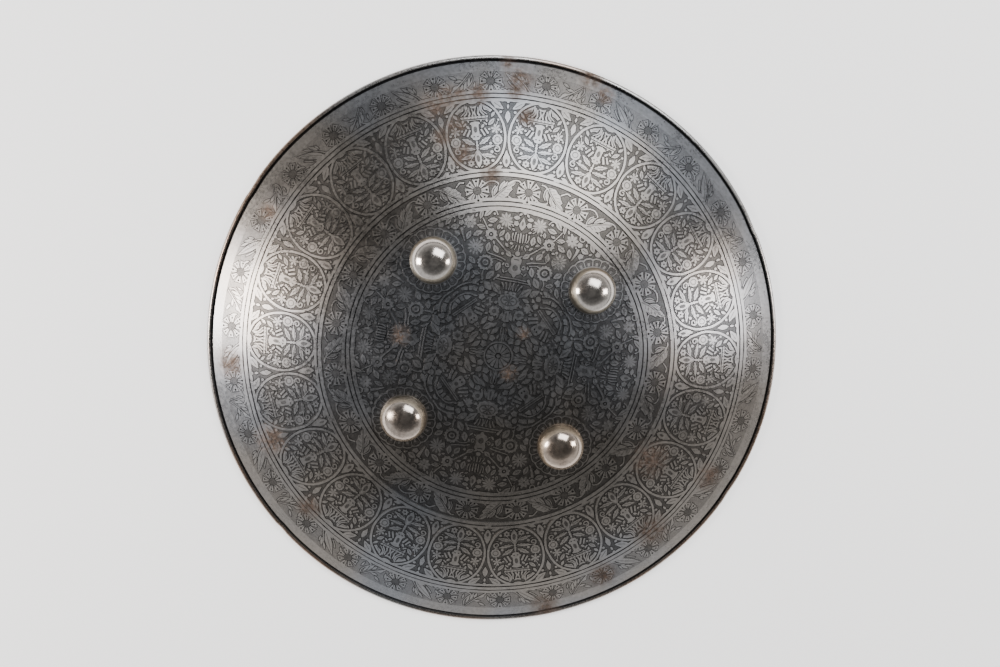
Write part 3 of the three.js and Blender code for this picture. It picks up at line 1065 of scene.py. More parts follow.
class Shell:
    """Closed mesh put together from faces that share their corners, with its own shading normals."""

    def __init__(self):
        self.points, self.faces, self.normals, self.slots = [], [], [], []

    def corner(self, point):
        """Adds a point and gives its number."""
        self.points.append(point)
        return len(self.points) - 1

    def face(self, corners, normals, slot):
        """Adds a face. The normals are one for each corner, or None for a flat face."""
        if normals is None:
            a, b, c = (self.points[corners[k]] for k in (0, 1, 2))
            normal = (b - a).cross(c - a)
            if normal.length < 1e-9 and len(corners) > 3:
                normal = (self.points[corners[2]] - a).cross(self.points[corners[3]] - a)
            normals = [normal.normalized()] * len(corners)
        self.faces.append(corners)
        self.normals.extend(normals)
        self.slots.append(slot)


def outer_face(shell, drawing, etch_depth):
    """Etched outer face: the metal of the drawing stands above the ground, with sloping dark edges."""
    shapes = with_lines(drawing)
    shapes.extend((outline, HOLE, 0.0) for outline in boss_holes())
    places, triangles, owners = fill_plan([points for points, _, _ in shapes], [])
    borders = borders_of(triangles, looks_of(places, triangles, owners, shapes))
    for slack in (0.08, 0.13, 0.17):
        borders = straightened(borders, places, slack)
    places, triangles, looks = redrawn(places, borders, hex_grid(GROOVE - 3, OUTER_GRID))
    depths = {METAL: 0.0, FINE: 0.0, GROUND: -etch_depth, SHALLOW: -SHALLOW_SHARE * etch_depth}
    no_height, near = -9.0, 0.4
    heights, kept, edges = {}, [], set()
    for tri, look in zip(triangles, looks):
        level, lift = look or (GROUND, 0.0)
        if level == HOLE:
            continue
        kept.append((tri, level))
        edges.update(edges_of(tri))
        height = depths.get(level, no_height) + lift
        for k in tri:
            heights[k] = max(heights.get(k, no_height), height)
    corners, normals = {}, {}
    for k, height in heights.items():
        x, y = places[k]
        middle = dome_point(x, y, 0.0)
        east = dome_point(x + near, y, 0.0) - middle
        north = dome_point(x, y + near, 0.0) - middle
        normals[k] = east.cross(north).normalized()
        corners[k] = shell.corner(middle + normals[k] * (height if height > no_height else -etch_depth))
    for tri, level in kept:
        shading = None if level == INK else [normals[k] for k in tri]
        shell.face([corners[k] for k in tri], shading, SLOT_OF[level])
    return places, edges, corners


def ring_of(places, edges, corners, accepts):
    """Corners along an open edge of a face where the test accepts their place, by angle about its middle."""
    found = [k for k, j in edges if (j, k) not in edges and accepts(*places[k])]
    middle = sum((places[k] for k in found), Vector((0, 0))) / len(found)
    found.sort(key=lambda k: angle_of(places[k] - middle))
    return [corners[k] for k in found]


def inner_face(shell, crease):
    """Plain inner face, from the ring of corners at the rolled rim's crease to the middle."""
    reach = INNER_CREASE[0]
    outlines = [oval(0, 0, reach, sides=RIM_SIDES), *boss_holes(SHEET)]
    places, triangles, owners = fill_plan(outlines, hex_grid(reach - 7, INNER_GRID))
    edge = [k for k, (x, y) in enumerate(places) if math.hypot(x, y) > reach - 2]
    corners = dict(zip(sorted(edge, key=lambda k: angle_of(places[k])), crease))
    for k, (x, y) in enumerate(places):
        if k not in corners:
            corners[k] = shell.corner(dome_point(x, y, -SHEET))
    edges = set()
    for tri, owner in zip(triangles, owners):
        if max(owner) == 0:
            edges.update(edges_of(tri))
            flipped = [corners[k] for k in reversed(tri)]
            shell.face(flipped, [inner_normal(shell.points[k]) for k in flipped], INNER_SLOT)
    return places, edges, corners


def hole_walls(shell, outer, inner):
    """Wall of each shank hole, between the open edges that it leaves in the two faces."""
    for i in range(BOSS_COUNT):
        place = at(BOSS_RADIUS, 90 * i + 45)
        middle = Vector((place["x"], place["y"]))

        def beside_hole(x, y):
            return (Vector((x, y)) - middle).length < 2 * HOLE_RADIUS

        top, bottom = ring_of(*outer, beside_hole), ring_of(*inner, beside_hole)
        for k in range(len(top)):
            j = (k + 1) % len(top)
            shell.face([top[k], top[j], bottom[j], bottom[k]], None, INNER_SLOT)


def bowl_shell(etch_depth):
    """Whole bowl: outer face, groove and rolled rim, inner face and the four shank holes."""
    shell = Shell()
    outer = outer_face(shell, shield_drawing(), etch_depth)
    rings = rim_rings(shell, ring_of(*outer, lambda x, y: math.hypot(x, y) > 0.9 * RIM))
    inner = inner_face(shell, rings[-1])
    hole_walls(shell, outer, inner)
    return shell


def angle_of(point):
    """Azimuth of a point, in radians."""
    return math.atan2(point[1], point[0])


def inner_normal(point):
    """Direction in which the inner face looks at a point, towards the sphere's middle."""
    return Vector((-point.x, -point.y, SPHERE_CENTRE - point.z)).normalized()


def rim_circle(radius, height):
    """Points of a circle round the axis, swayed as the rim is."""
    points = []
    for i in range(RIM_SIDES):
        angle = 2 * math.pi * (i + 0.5) / RIM_SIDES
        reach = radius + rim_sway(angle)
        points.append(Vector((reach * math.cos(angle), reach * math.sin(angle), height)))
    return points


def rim_profile():
    """Section of the groove and the rolled rim, from the outer face round to the inner one."""
    section = [(GROOVE + 0.45, 4.15), (GROOVE + 0.75, 3.6), (GROOVE + 1.0, 3.45), (GROOVE + 1.2, 3.5)]
    turn = math.degrees(math.asin(BEAD_FLAT / BEAD_RADIUS))
    angles = [*range(BEAD_START, -1, -12), *range(-20, int(turn) - 90, -20), turn - 90, -90 - turn]
    angles.extend(range(-140, -202, -20))
    for angle in angles:
        across, up = BEAD_RADIUS * math.cos(math.radians(angle)), BEAD_RADIUS * math.sin(math.radians(angle))
        section.append((BEAD_CENTRE[0] + across, BEAD_CENTRE[1] + up))
    section.append(INNER_CREASE)
    return section


def rim_rings(shell, outer_ring):
    """Turns the rim's section round the axis, joined to the ring of corners where the outer face ends."""
    start = shell.points[outer_ring[0]]
    section = rim_profile()
    rings = [outer_ring, *([shell.corner(p) for p in rim_circle(*spot)] for spot in section)]
    rings = [sorted(ring, key=lambda k: angle_of(shell.points[k])) for ring in rings]
    profile = [Vector((math.hypot(start.x, start.y), start.z)), *[Vector(p) for p in section]]
    slopes = []
    for i in range(len(profile)):
        before, after = profile[max(i - 1, 0)], profile[min(i + 1, len(profile) - 1)]
        run = (after - before).normalized()
        slopes.append(Vector((-run.y, run.x)))
    for i in range(len(rings) - 1):
        for k in range(RIM_SIDES):
            j = (k + 1) % RIM_SIDES
            quad = [rings[i][k], rings[i + 1][k], rings[i + 1][j], rings[i][j]]
            normals = []
            for corner, slope in zip(quad, (slopes[i], slopes[i + 1], slopes[i + 1], slopes[i])):
                point = shell.points[corner]
                reach = math.hypot(point.x, point.y)
                normals.append(Vector((point.x / reach * slope.x, point.y / reach * slope.x, slope.y)))
            # The groove and the inner side of the bead take the near-black finish of the lines: painted shade
            # in the groove beside the rim
            shell.face(quad, normals, BEAD_SLOT if i >= GROOVE_STEPS else LINE_AND_GROOVE_SHADE_SLOT)
    return rings


def unrolled_radius(point):
    """Distance from the axis of a point of the outer face or the rim, once the rolled rim is laid flat."""
    reach = math.hypot(point.x, point.y)
    in_groove = reach < GROOVE + 1.3 and point.z > BEAD_CENTRE[1] + 1.2
    if in_groove or reach <= INNER_CREASE[0] - 1:
        return reach
    angle = math.degrees(math.atan2(point.z - BEAD_CENTRE[1], reach - BEAD_CENTRE[0]))
    turned = (BEAD_START - angle) % 360
    return BEAD_UNROLLED + BEAD_RADIUS * math.radians(turned)


def unwrap(mesh):
    """Lays the outer face with its rim, and the inner face, out flat as two discs side by side."""
    layer = mesh.uv_layers.new(name="OFBake")
    outer, outer_size = Vector((0.36, 0.64)), 0.355 / (BEAD_UNROLLED + BEAD_RADIUS * 2 * math.pi)
    inner, inner_size = Vector((0.78, 0.22)), 0.215 / INNER_CREASE[0]
    flat = [0.0] * (2 * len(mesh.loops))
    places = [v.co * 1000 for v in mesh.vertices]
    for polygon in mesh.polygons:
        within = polygon.material_index == INNER_SLOT
        for loop in polygon.loop_indices:
            point = places[mesh.loops[loop].vertex_index]
            direction = Vector((point.x, point.y)).normalized()
            if within:
                spot = inner + Vector((point.x, point.y)) * inner_size
            else:
                spot = outer + direction * unrolled_radius(point) * outer_size
            flat[2 * loop], flat[2 * loop + 1] = spot
    layer.uv.foreach_set("vector", flat)


def to_object(shell, name):
    """Mesh object from a shell, its lengths turned from millimetres into metres."""
    mesh = bpy.data.meshes.new(name)
    mesh.from_pydata([p * 0.001 for p in shell.points], [], shell.faces)
    mesh.polygons.foreach_set("material_index", shell.slots)
    mesh.polygons.foreach_set("use_smooth", [True] * len(shell.faces))
    mesh.update()
    mesh.normals_split_custom_set(shell.normals)
    unwrap(mesh)
    made = bpy.data.objects.new(name, mesh)
    bpy.context.collection.objects.link(made)
    return made


def select_only(obj):
    """Makes one object the only selected and the active one."""
    bpy.ops.object.select_all(action="DESELECT")
    obj.select_set(True)
    bpy.context.view_layer.objects.active = obj


def boss_section(side, top):
    """Half section of a boss from its shank to its top, as (radius, height) in metres, z = 0 at the foot."""
    shank, shank_end, gap = 0.0025, -0.0036, 0.00025
    foot, low, high = side - 0.0007, 0.0008, 0.0018
    section = [(0.0, shank_end), (shank, shank_end), (shank, gap), (foot - 0.0006, 0.0), (foot, 0.0001)]
    section += [(side - 0.0002, 0.45 * low), (side, low), (side, high)]
    dome_steps = 22
    for i in range(1, dome_steps + 1):
        angle = math.pi / 2 * i / dome_steps
        section.append((side * math.cos(angle), high + (top - high) * math.sin(angle)))
    section[-1] = (0.0, top)
    return section


def spin_section(section, name, steps):
    """Solid of revolution about Z from a half section, as a new object."""
    mesh = bpy.data.meshes.new(name)
    edges = [(i, i + 1) for i in range(len(section) - 1)]
    mesh.from_pydata([(radius, 0.0, height) for radius, height in section], edges, [])
    made = bpy.data.objects.new(name, mesh)
    bpy.context.collection.objects.link(made)
    select_only(made)
    bpy.ops.object.mode_set(mode="EDIT")
    bpy.ops.mesh.select_all(action="SELECT")
    bpy.ops.mesh.spin(steps=steps, angle=2 * math.pi, center=(0, 0, 0), axis=(0, 0, 1))
    bpy.ops.mesh.select_all(action="SELECT")
    bpy.ops.mesh.remove_doubles(threshold=1e-6)
    bpy.ops.mesh.normals_make_consistent(inside=False)
    bpy.ops.object.mode_set(mode="OBJECT")
    return made


def dome_frame(azimuth):
    """Frame on the outer face at a boss: local z is the dome's normal, local x points down the slope."""
    lean = math.asin(BOSS_RADIUS / SPHERE_RADIUS)
    height = SPHERE_CENTRE + SPHERE_RADIUS * math.cos(lean)
    place = Vector((BOSS_RADIUS * math.cos(azimuth), BOSS_RADIUS * math.sin(azimuth), height)) * 0.001
    return Matrix.Translation(place) @ Matrix.Rotation(azimuth, 4, "Z") @ Matrix.Rotation(lean, 4, "Y")


def make_boss(index, look, finishes):
    """Boss with the eye of its shank, polished above, and rougher round its foot, where its colour is painted
    darker and browner as painted shade.
    """
    eye_radius, eye_wire, eye_depth = 0.0047, 0.0016, 0.0079
    sides, crease = 72, math.radians(28)
    section = boss_section(look.boss_radius, look.boss_height)
    boss = spin_section(section, f"dressed_boss_{index + 1}", sides)
    bpy.ops.mesh.primitive_torus_add(
        major_radius=eye_radius, minor_radius=eye_wire, major_segments=32, minor_segments=14,
        location=(0, 0, -eye_depth), rotation=(math.pi / 2, 0, 0),
    )
    eye = bpy.context.active_object
    union = boss.modifiers.new("eye", "BOOLEAN")
    union.operation = "UNION"
    union.solver = "EXACT"
    union.object = eye
    select_only(boss)
    bpy.ops.object.modifier_apply(modifier=union.name)
    bpy.data.objects.remove(eye)
    for finish in finishes:
        boss.data.materials.append(finish)
    for polygon in boss.data.polygons:
        # Faces low on the boss take the rougher finish, painted darker and browner: painted shade round the
        # foot
        polygon.material_index = 1 if polygon.center.z < SATIN_SHADE_SHARE * look.boss_height else 0
    boss.data.transform(dome_frame(math.pi / 2 * (index + 0.5)))
    select_only(boss)
    bpy.ops.object.shade_smooth_by_angle(angle=crease)
    return boss


def make_ring(index, wire):
    """Grip ring of round wire, hanging where the solid one does."""
    low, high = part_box(GRIP_RINGS[index])
    azimuth = math.pi / 2 * (index + 0.5)
    solid_wire = 0.0016
    reach = (high.z - low.z) / 2 - solid_wire
    bpy.ops.object.select_all(action="DESELECT")
    bpy.ops.mesh.primitive_torus_add(
        major_radius=reach, minor_radius=wire, major_segments=56, minor_segments=14,
        location=(low + high) / 2, rotation=(0, math.pi / 2, azimuth),
    )
    ring = bpy.context.active_object
    bpy.ops.object.transform_apply(location=True, rotation=True, scale=True)
    ring.name = f"dressed_ring_{index + 1}"
    bpy.ops.object.shade_smooth()
    return ring


def group_socket(tree, name, way, kind, default=None):
    """Adds a named input or output to a node group."""
    made = tree.interface.new_socket(name=name, in_out=way, socket_type=kind)
    if default is not None:
        made.default_value = default


class Nodes:
    """Short ways to add and join nodes in one tree."""

    def __init__(self, tree):
        self.tree = tree

    def add(self, kind, **values):
        """Adds a node, and sets its settings and inputs by name."""
        node = self.tree.nodes.new(kind)
        for name, value in values.items():
            if hasattr(node, name):
                setattr(node, name, value)
            else:
                self.put(node.inputs[name.replace("_", " ").title()], value)
        return node

    def put(self, socket, value):
        """Links a socket's value into an input, or sets the input to a plain value."""
        if isinstance(value, bpy.types.NodeSocket):
            self.tree.links.new(value, socket)
        else:
            socket.default_value = value

    def noise(self, vector, scale, detail, roughness):
        node = self.add("ShaderNodeTexNoise")
        self.put(node.inputs["Vector"], vector)
        for name, value in (("Scale", scale), ("Detail", detail), ("Roughness", roughness)):
            self.put(node.inputs[name], value)
        return node.outputs["Fac"]

    def remap(self, value, low, high, to_low=0.0, to_high=1.0):
        """Smooth change from one level to another as a value goes from low to high."""
        node = self.add("ShaderNodeMapRange", interpolation_type="SMOOTHSTEP")
        self.put(node.inputs["Value"], value)
        for name, number in (("From Min", low), ("From Max", high), ("To Min", to_low), ("To Max", to_high)):
            self.put(node.inputs[name], number)
        return node.outputs["Result"]

    def math(self, operation, *values):
        node = self.add("ShaderNodeMath", operation=operation)
        for socket, value in zip(node.inputs, values):
            self.put(socket, value)
        return node.outputs["Value"]

    def grey(self, level):
        """Grey colour of a level."""
        return self.add("ShaderNodeCombineColor", Red=level, Green=level, Blue=level).outputs[0]

    def mix(self, factor, first, second, blend="MIX"):
        node = self.add("ShaderNodeMix", data_type="RGBA", blend_type=blend)
        self.put(node.inputs[0], factor)
        self.put(node.inputs[6], first)
        self.put(node.inputs[7], second)
        return node.outputs[2]


# Depth of the grain in the steel's surface, and dots to the metre in the stippled ground
GRAIN_DEPTH = 0.0002
DOT_SCALE = 1050.0

# Direction in which the steel gets warmer, and how fast, per metre
WARM_SIDE = (-0.34, -0.28, 0.0)

# Rust patches as (x, y, reach), in metres from the middle of the shield
RUST_SPOTS = (
    (-0.081, 0.173, 0.009), (-0.073, 0.181, 0.008), (-0.064, 0.184, 0.005), (-0.05, 0.188, 0.007),
    (-0.021, 0.205, 0.01), (-0.023, 0.196, 0.006), (-0.032, 0.216, 0.005), (0.033, 0.217, 0.008),
    (0.046, 0.207, 0.006), (-0.062, 0.160, 0.007), (-0.052, 0.141, 0.008), (-0.07, 0.151, 0.006),
    (-0.011, 0.178, 0.006), (-0.03, 0.13, 0.006), (-0.074, 0.001, 0.006), (0.01, -0.011, 0.005),
    (0.015, 0.02, 0.004), (0.133, -0.061, 0.012), (-0.158, -0.102, 0.01), (0.08, -0.2, 0.009),
    (0.15, -0.12, 0.011), (0.186, -0.07, 0.009), (-0.19, 0.07, 0.006), (-0.2, -0.05, 0.009),
    (0.12, -0.165, 0.009), (-0.12, -0.15, 0.008), (0.052, 0.063, 0.005), (-0.067, -0.056, 0.008),
    (-0.062, -0.068, 0.007), (-0.052, -0.06, 0.005), (0.053, -0.061, 0.006), (0.062, -0.069, 0.004),
)


def rust_mask(n, place):
    """How much of each point lies in one of the rust patches, from 0 to 1."""
    total = 0.0
    flat = n.add("ShaderNodeVectorMath", operation="MULTIPLY")
    n.put(flat.inputs[0], place)
    n.put(flat.inputs[1], (1, 1, 0))
    for x, y, reach in RUST_SPOTS:
        away = n.add("ShaderNodeVectorMath", operation="DISTANCE")
        n.put(away.inputs[0], flat.outputs["Vector"])
        n.put(away.inputs[1], (x, y, 0))
        near = n.remap(away.outputs["Value"], 0.2 * reach, 1.8 * reach, 1.0, 0.0)
        total = near if total == 0.0 else n.math("MAXIMUM", total, near)
    return total


def patina_group():
    """Colour and roughness of old steel: cool and warm tones, stains, fine pits and rust."""
    tree = bpy.data.node_groups.new("OldSteel", "ShaderNodeTree")
    group_socket(tree, "Cool", "INPUT", "NodeSocketColor", (0.2, 0.205, 0.22, 1))
    group_socket(tree, "Warm", "INPUT", "NodeSocketColor", (0.2, 0.185, 0.165, 1))
    group_socket(tree, "Rust", "INPUT", "NodeSocketFloat", 1.0)
    group_socket(tree, "Rough", "INPUT", "NodeSocketFloat", 0.35)
    group_socket(tree, "Color", "OUTPUT", "NodeSocketColor")
    group_socket(tree, "Roughness", "OUTPUT", "NodeSocketFloat")
    group_socket(tree, "Height", "OUTPUT", "NodeSocketFloat")
    n = Nodes(tree)
    ins = n.add("NodeGroupInput").outputs
    outs = n.add("NodeGroupOutput").inputs
    place = n.add("ShaderNodeTexCoord").outputs["Object"]
    broad = n.noise(place, 7.0, 3.0, 0.5)
    patch = n.noise(place, 34.0, 5.0, 0.62)
    grain = n.noise(place, 420.0, 4.0, 0.6)
    fine = n.noise(place, 1500.0, 2.0, 0.5)
    lean = n.add("ShaderNodeVectorMath", operation="DOT_PRODUCT")
    n.put(lean.inputs[0], place)
    n.put(lean.inputs[1], WARM_SIDE)
    warmth = n.math("ADD", broad, lean.outputs["Value"])
    tone = n.mix(n.remap(warmth, 0.4, 0.6), ins["Cool"], ins["Warm"])
    shade = n.math("ADD", n.remap(patch, 0.3, 0.7, 0.93, 1.06), n.remap(grain, 0.3, 0.7, -0.12, 0.12))
    shaded = n.mix(1.0, tone, n.grey(shade), "MULTIPLY")
    blotch = n.noise(place, 190.0, 6.0, 0.7)
    near_rust = rust_mask(n, place)
    spots = n.remap(n.math("ADD", n.math("MULTIPLY", near_rust, 0.26), blotch), 0.62, 0.9)
    stain = n.math("MULTIPLY", near_rust, n.remap(blotch, 0.34, 0.58, 0.3, 0.92))
    specks = n.math("MULTIPLY", n.remap(blotch, 0.72, 0.8), n.remap(patch, 0.54, 0.7))
    rusty = n.math("MULTIPLY", n.math("MAXIMUM", n.math("MAXIMUM", spots, stain), specks), ins["Rust"])
    rust_tone = n.mix(n.remap(grain, 0.35, 0.65), (0.075, 0.056, 0.045, 1), (0.16, 0.115, 0.092, 1))
    n.put(outs["Color"], n.mix(rusty, shaded, rust_tone))
    spread = n.math("ADD", n.remap(patch, 0.3, 0.7, -0.03, 0.04), n.remap(grain, 0.3, 0.7, -0.03, 0.03))
    rough = n.math("ADD", n.math("ADD", ins["Rough"], spread), n.math("MULTIPLY", rusty, 0.3))
    n.put(outs["Roughness"], rough)
    n.put(outs["Height"], n.math("ADD", grain, n.math("MULTIPLY", fine, 0.5)))
    return tree


def stippled(n, color, strength):
    """The colour with a close scatter of darker punched dots."""
    dots = n.add("ShaderNodeTexVoronoi")
    n.put(dots.inputs["Vector"], n.add("ShaderNodeTexCoord").outputs["Object"])
    n.put(dots.inputs["Scale"], DOT_SCALE)
    level = n.remap(dots.outputs["Distance"], 0.2, 0.5, 1 - strength, 1.0)
    return n.mix(1.0, color, n.grey(level), "MULTIPLY")


def steel_material(name, cool, warm, rough, rust=1.0, bump=0.12, stipple=0.0):
    """Old steel between a cool and a warm colour, with its share of rust, fine relief and dots."""
    made = bpy.data.materials.new(name)
    made.use_nodes = True
    n = Nodes(made.node_tree)
    shader = made.node_tree.nodes["Principled BSDF"]
    shader.inputs["Metallic"].default_value = 1.0
    group = n.add("ShaderNodeGroup", node_tree=bpy.data.node_groups["OldSteel"])
    for socket, value in (("Cool", (*cool, 1)), ("Warm", (*warm, 1)), ("Rough", rough), ("Rust", rust)):
        n.put(group.inputs[socket], value)
    color = group.outputs["Color"]
    n.put(shader.inputs["Base Color"], stippled(n, color, stipple) if stipple else color)
    n.put(shader.inputs["Roughness"], group.outputs["Roughness"])
    ridges = n.add("ShaderNodeBump")
    n.put(ridges.inputs["Height"], group.outputs["Height"])
    n.put(ridges.inputs["Strength"], bump)
    n.put(ridges.inputs["Distance"], GRAIN_DEPTH)
    n.put(shader.inputs["Normal"], ridges.outputs["Normal"])
    made.diffuse_color = (*cool, 1)
    return made


def area_light(name, place, size, power, color, target=(0, 0, 0.03)):
    """Soft rectangular light that looks at the shield."""
    data = bpy.data.lights.new(name, "AREA")
    data.shape = "RECTANGLE"
    data.size, data.size_y = size
    data.energy = power
    data.color = color
    made = bpy.data.objects.new(name, data)
    bpy.context.collection.objects.link(made)
    made.location = place
    made.rotation_euler = (Vector(target) - Vector(place)).to_track_quat("-Z", "Y").to_euler()


def grey_ramp(n, value, stops):
    """Grey level by a value, from (place, level) stops."""
    ramp = n.add("ShaderNodeValToRGB")
    n.put(ramp.inputs["Fac"], value)
    ramp.color_ramp.elements.remove(ramp.color_ramp.elements[1])
    for i, (place, level) in enumerate(stops):
        stop = ramp.color_ramp.elements[0] if i == 0 else ramp.color_ramp.elements.new(place)
        stop.position = place
        stop.color = (level, level, level, 1)
    return ramp.outputs["Color"]


def studio_world():
    """Soft surroundings: bright near the horizon, and higher up on the near side, dim above."""
    world = bpy.data.worlds.new("Studio")
    world.use_nodes = True
    n = Nodes(world.node_tree)
    split = n.add("ShaderNodeSeparateXYZ")
    n.put(split.inputs[0], n.add("ShaderNodeTexCoord").outputs["Generated"])
    height = split.outputs["Z"]
    around = ((0.0, 0.25), (0.08, 0.3), (0.16, 1.15), (0.22, 1.1), (0.36, 0.5))
    around += ((0.52, 0.36), (0.72, 0.14), (0.92, 0.11), (0.99, 0.2))
    near_side = ((0.0, 1.05), (0.46, 1.0), (0.56, 0.42), (0.72, 0.21), (0.92, 0.16), (0.99, 0.22))
    share = n.remap(split.outputs["Y"], -0.6, -0.2, 1.0, 0.0)
    level = n.mix(share, grey_ramp(n, height, around), grey_ramp(n, height, near_side))
    background = world.node_tree.nodes["Background"]
    n.put(background.inputs["Color"], level)
    background.inputs["Strength"].default_value = 1.0
    return world


def from_direction(distance, elevation, azimuth):
    """Place at that distance from the origin, in a direction given in degrees."""
    up, around = math.radians(elevation), math.radians(azimuth)
    flat = distance * math.cos(up)
    return Vector((flat * math.cos(around), flat * math.sin(around), distance * math.sin(up)))


def make_camera():
    """Camera that sees the shield as the photograph does, from above and a little to one side."""
    place = (-0.060629, 0.111201, 0.893043)
    right, up = Vector((0.98042, 0.19116, 0.04735)), Vector((-0.18418, 0.97514, -0.12321))
    data = bpy.data.cameras.new("Camera")
    data.lens = 41.04
    data.sensor_width = 36
    made = bpy.data.objects.new("Camera", data)
    bpy.context.collection.objects.link(made)
    turned = Matrix((right, up, right.cross(up))).transposed()
    made.matrix_world = Matrix.Translation(place) @ turned.to_4x4()
    bpy.context.scene.camera = made


class ShieldLook(bpy.types.PropertyGroup):
    """Colours of the steel, depth of the etching, and sizes of the bosses and rings."""

    etch_depth: bpy.props.FloatProperty(
        name="Etching depth", description="How far the etched ground lies below the metal",
        subtype="DISTANCE", unit="LENGTH", min=0.00005, max=0.0004, precision=5, default=0.0002,
    )
    metal_cool: bpy.props.FloatVectorProperty(
        name="Cool steel", description="Colour of the steel where it looks blue", subtype="COLOR",
        size=3, min=0, max=1, default=(0.236, 0.244, 0.262),
    )
    metal_warm: bpy.props.FloatVectorProperty(
        name="Warm steel", description="Colour of the steel where it looks brown", subtype="COLOR",
        size=3, min=0, max=1, default=(0.264, 0.241, 0.219),
    )
    ground_share: bpy.props.FloatProperty(
        name="Etched ground", description="How light the etched ground is, as a share of the steel beside it",
        subtype="FACTOR", min=0, max=1, default=0.34,
    )
    # The dark lines' share also sets the painted shade in the groove beside the rim
    line_share: bpy.props.FloatProperty(
        name="Dark lines", description="How light the lines round the motifs are, as a share of the steel",
        subtype="FACTOR", min=0, max=1, default=0.08,
    )
    rim_color: bpy.props.FloatVectorProperty(
        name="Rim", description="Colour of the rolled rim where it is rubbed bright", subtype="COLOR",
        size=3, min=0, max=1, default=(0.36, 0.352, 0.345),
    )
    boss_radius: bpy.props.FloatProperty(
        name="Boss radius", description="Half the width of a boss", subtype="DISTANCE", unit="LENGTH",
        min=0.012, max=0.0176, default=0.0175,
    )
    boss_height: bpy.props.FloatProperty(
        name="Boss height", description="How far a boss stands out from the bowl", subtype="DISTANCE",
        unit="LENGTH", min=0.008, max=0.0149, default=0.01485,
    )
    ring_wire: bpy.props.FloatProperty(
        name="Ring wire", description="Half the thickness of a grip ring's wire", subtype="DISTANCE",
        unit="LENGTH", min=0.001, max=0.0016, default=0.00158,
    )
    boss_color: bpy.props.FloatVectorProperty(
        name="Polished steel", description="Colour of the bosses", subtype="COLOR",
        size=3, min=0, max=1, default=(0.45, 0.42, 0.39),
    )


class SHIELD_OT_bowl(bpy.types.Operator):
    """Etched bowl with its rolled rim"""

    bl_idname = "shield.bowl"
    bl_label = "Etched bowl"

    def execute(self, context):
        look = context.scene.shield_look
        bowl = to_object(bowl_shell(look.etch_depth * 1000), "dressed_bowl")
        cool, warm, rim = tuple(look.metal_cool), tuple(look.metal_warm), tuple(look.rim_color)
        # name, share of the steel's colour, roughness, rust and stipple
        finishes = (
            ("EtchedMetal", 1.0, 0.29, 1.0, 0.0),
            ("EtchedGround", look.ground_share, 0.37, 1.0, 0.4),
            ("EtchedStipple", 1.1 * look.ground_share, 0.38, 1.0, 0.5),
            # The dark lines' finish also covers the groove beside the rim, as painted shade there
            ("EtchedLineAndGrooveShade", look.line_share, 0.45, 1.0, 0.0),
            ("EtchedShallow", 0.72, 0.35, 1.0, 0.3),
        )
        for name, share, rough, rust, stipple in finishes:
            tones = [tuple(c * share for c in color) for color in (cool, warm)]
            bowl.data.materials.append(steel_material(name, *tones, rough, rust, stipple=stipple))
        copper = tuple(c * share for c, share in zip(rim, (0.84, 0.64, 0.52)))
        bowl.data.materials.append(steel_material("RimSteel", rim, copper, 0.28, rust=1.4))
        inner = [tuple(0.75 * c for c in color) for color in (cool, warm)]
        bowl.data.materials.append(steel_material("InnerSteel", *inner, 0.5, rust=0.55))
        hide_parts("bowl")
        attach(bowl, "root")
        return {"FINISHED"}


class SHIELD_OT_bosses(bpy.types.Operator):
    """Four polished bosses with the eyes of their shanks"""

    bl_idname = "shield.bosses"
    bl_label = "Bosses"

    def execute(self, context):
        look = context.scene.shield_look
        color = tuple(look.boss_color)
        brown = tuple(c * share for c, share in zip(color, (0.86, 0.76, 0.68)))
        polished = steel_material("PolishedSteel", color, brown, 0.14, rust=0.5, bump=0.05)
        # The lower finish is rougher and painted darker and browner, as painted shade round the boss's foot
        satin_shade_tones = [tuple(c * share for c, share in zip(tone, (0.8, 0.77, 0.68))) for tone in (color, brown)]
        finishes = (polished, steel_material("SatinSteelPaintedShade", *satin_shade_tones, 0.4, rust=0.5, bump=0.08))
        for i in range(BOSS_COUNT):
            boss = make_boss(i, look, finishes)
            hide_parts(BOSSES[i])
            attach(boss, "root")
        return {"FINISHED"}


class SHIELD_OT_rings(bpy.types.Operator):
    """Loose iron ring in the eye behind each boss"""

    bl_idname = "shield.rings"
    bl_label = "Grip rings"

    def execute(self, context):
        iron = steel_material("RingIron", (0.12, 0.115, 0.11), (0.13, 0.11, 0.09), 0.5, rust=2.0)
        for i in range(BOSS_COUNT):
            ring = make_ring(i, context.scene.shield_look.ring_wire)
            ring.data.materials.append(iron)
            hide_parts(GRIP_RINGS[i])
            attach(ring, "root")
        return {"FINISHED"}


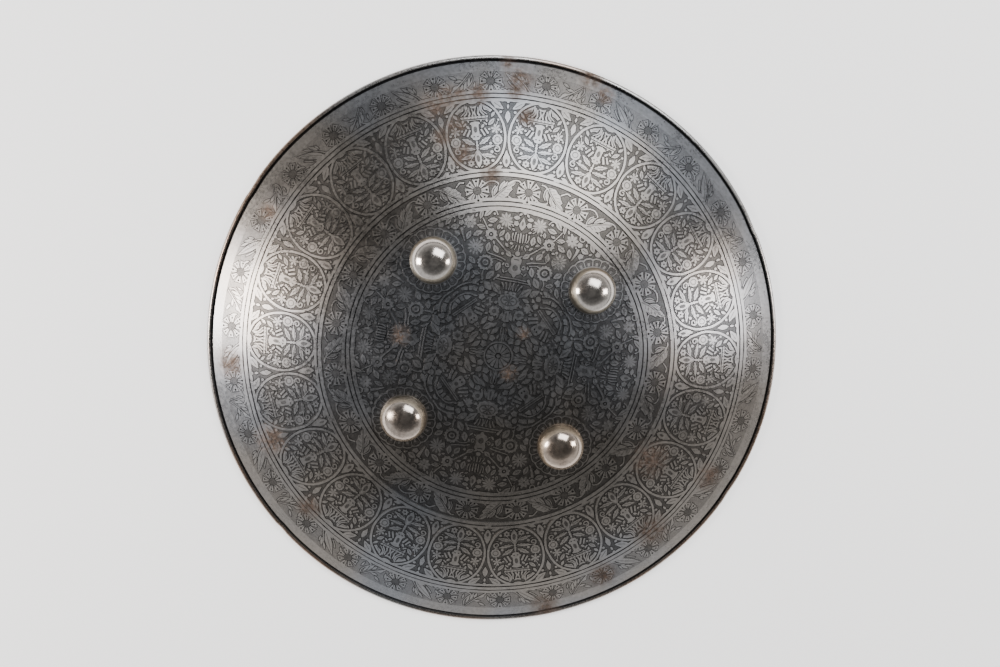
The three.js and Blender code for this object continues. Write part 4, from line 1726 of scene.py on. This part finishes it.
class SHIELD_OT_stage(bpy.types.Operator):
    """Pale floor, soft lights and the camera"""

    bl_idname = "shield.stage"
    bl_label = "Stage"

    def execute(self, context):
        bpy.ops.object.select_all(action="DESELECT")
        bpy.ops.mesh.primitive_plane_add(size=12, location=(0, 0, 0))
        floor = bpy.context.active_object
        floor.name = "floor"
        paint = bpy.data.materials.new("PaleFloor")
        paint.use_nodes = True
        shader = paint.node_tree.nodes["Principled BSDF"]
        shader.inputs["Base Color"].default_value = (0.9, 0.9, 0.9, 1)
        shader.inputs["Roughness"].default_value = 0.9
        shader.inputs["Emission Color"].default_value = (1, 1, 1, 1)
        shader.inputs["Emission Strength"].default_value = 0.9
        floor.data.materials.append(paint)
        context.scene.world = studio_world()
        warm, cool = (1.0, 0.935, 0.88), (0.95, 0.975, 1.0)
        area_light("Left", from_direction(1.5, 27, -173), (0.44, 0.48), 24, warm)
        area_light("Right", from_direction(1.5, 34, 14), (0.34, 0.42), 9.2, warm)
        area_light("Top", from_direction(1.7, 49, 77.5), (1.1, 0.78), 22.5, cool)
        make_camera()
        return {"FINISHED"}


class SHIELD_PT_panel(bpy.types.Panel):
    """Sidebar panel with the shield's settings and steps."""

    bl_label = "Etched steel shield"
    bl_idname = "SHIELD_PT_panel"
    bl_space_type = "VIEW_3D"
    bl_region_type = "UI"
    bl_category = "Shield"

    def draw(self, context):
        look = context.scene.shield_look
        for name in look.__annotations__:
            self.layout.prop(look, name)
        for operator in STEPS:
            self.layout.operator(operator.bl_idname)


STEPS = (SHIELD_OT_bowl, SHIELD_OT_bosses, SHIELD_OT_rings, SHIELD_OT_stage)
CLASSES = (ShieldLook, *STEPS, SHIELD_PT_panel)


def register():
    for cls in CLASSES:
        bpy.utils.register_class(cls)
    bpy.types.Scene.shield_look = bpy.props.PointerProperty(type=ShieldLook)


def unregister():
    del bpy.types.Scene.shield_look
    for cls in reversed(CLASSES):
        bpy.utils.unregister_class(cls)


def main():
    """Builds the dressed shield and its stage."""
    register()
    if "OldSteel" not in bpy.data.node_groups:
        patina_group()
    bpy.ops.shield.bowl()
    bpy.ops.shield.bosses()
    bpy.ops.shield.rings()
    bpy.ops.shield.stage()


if __name__ == "__main__":
    main()
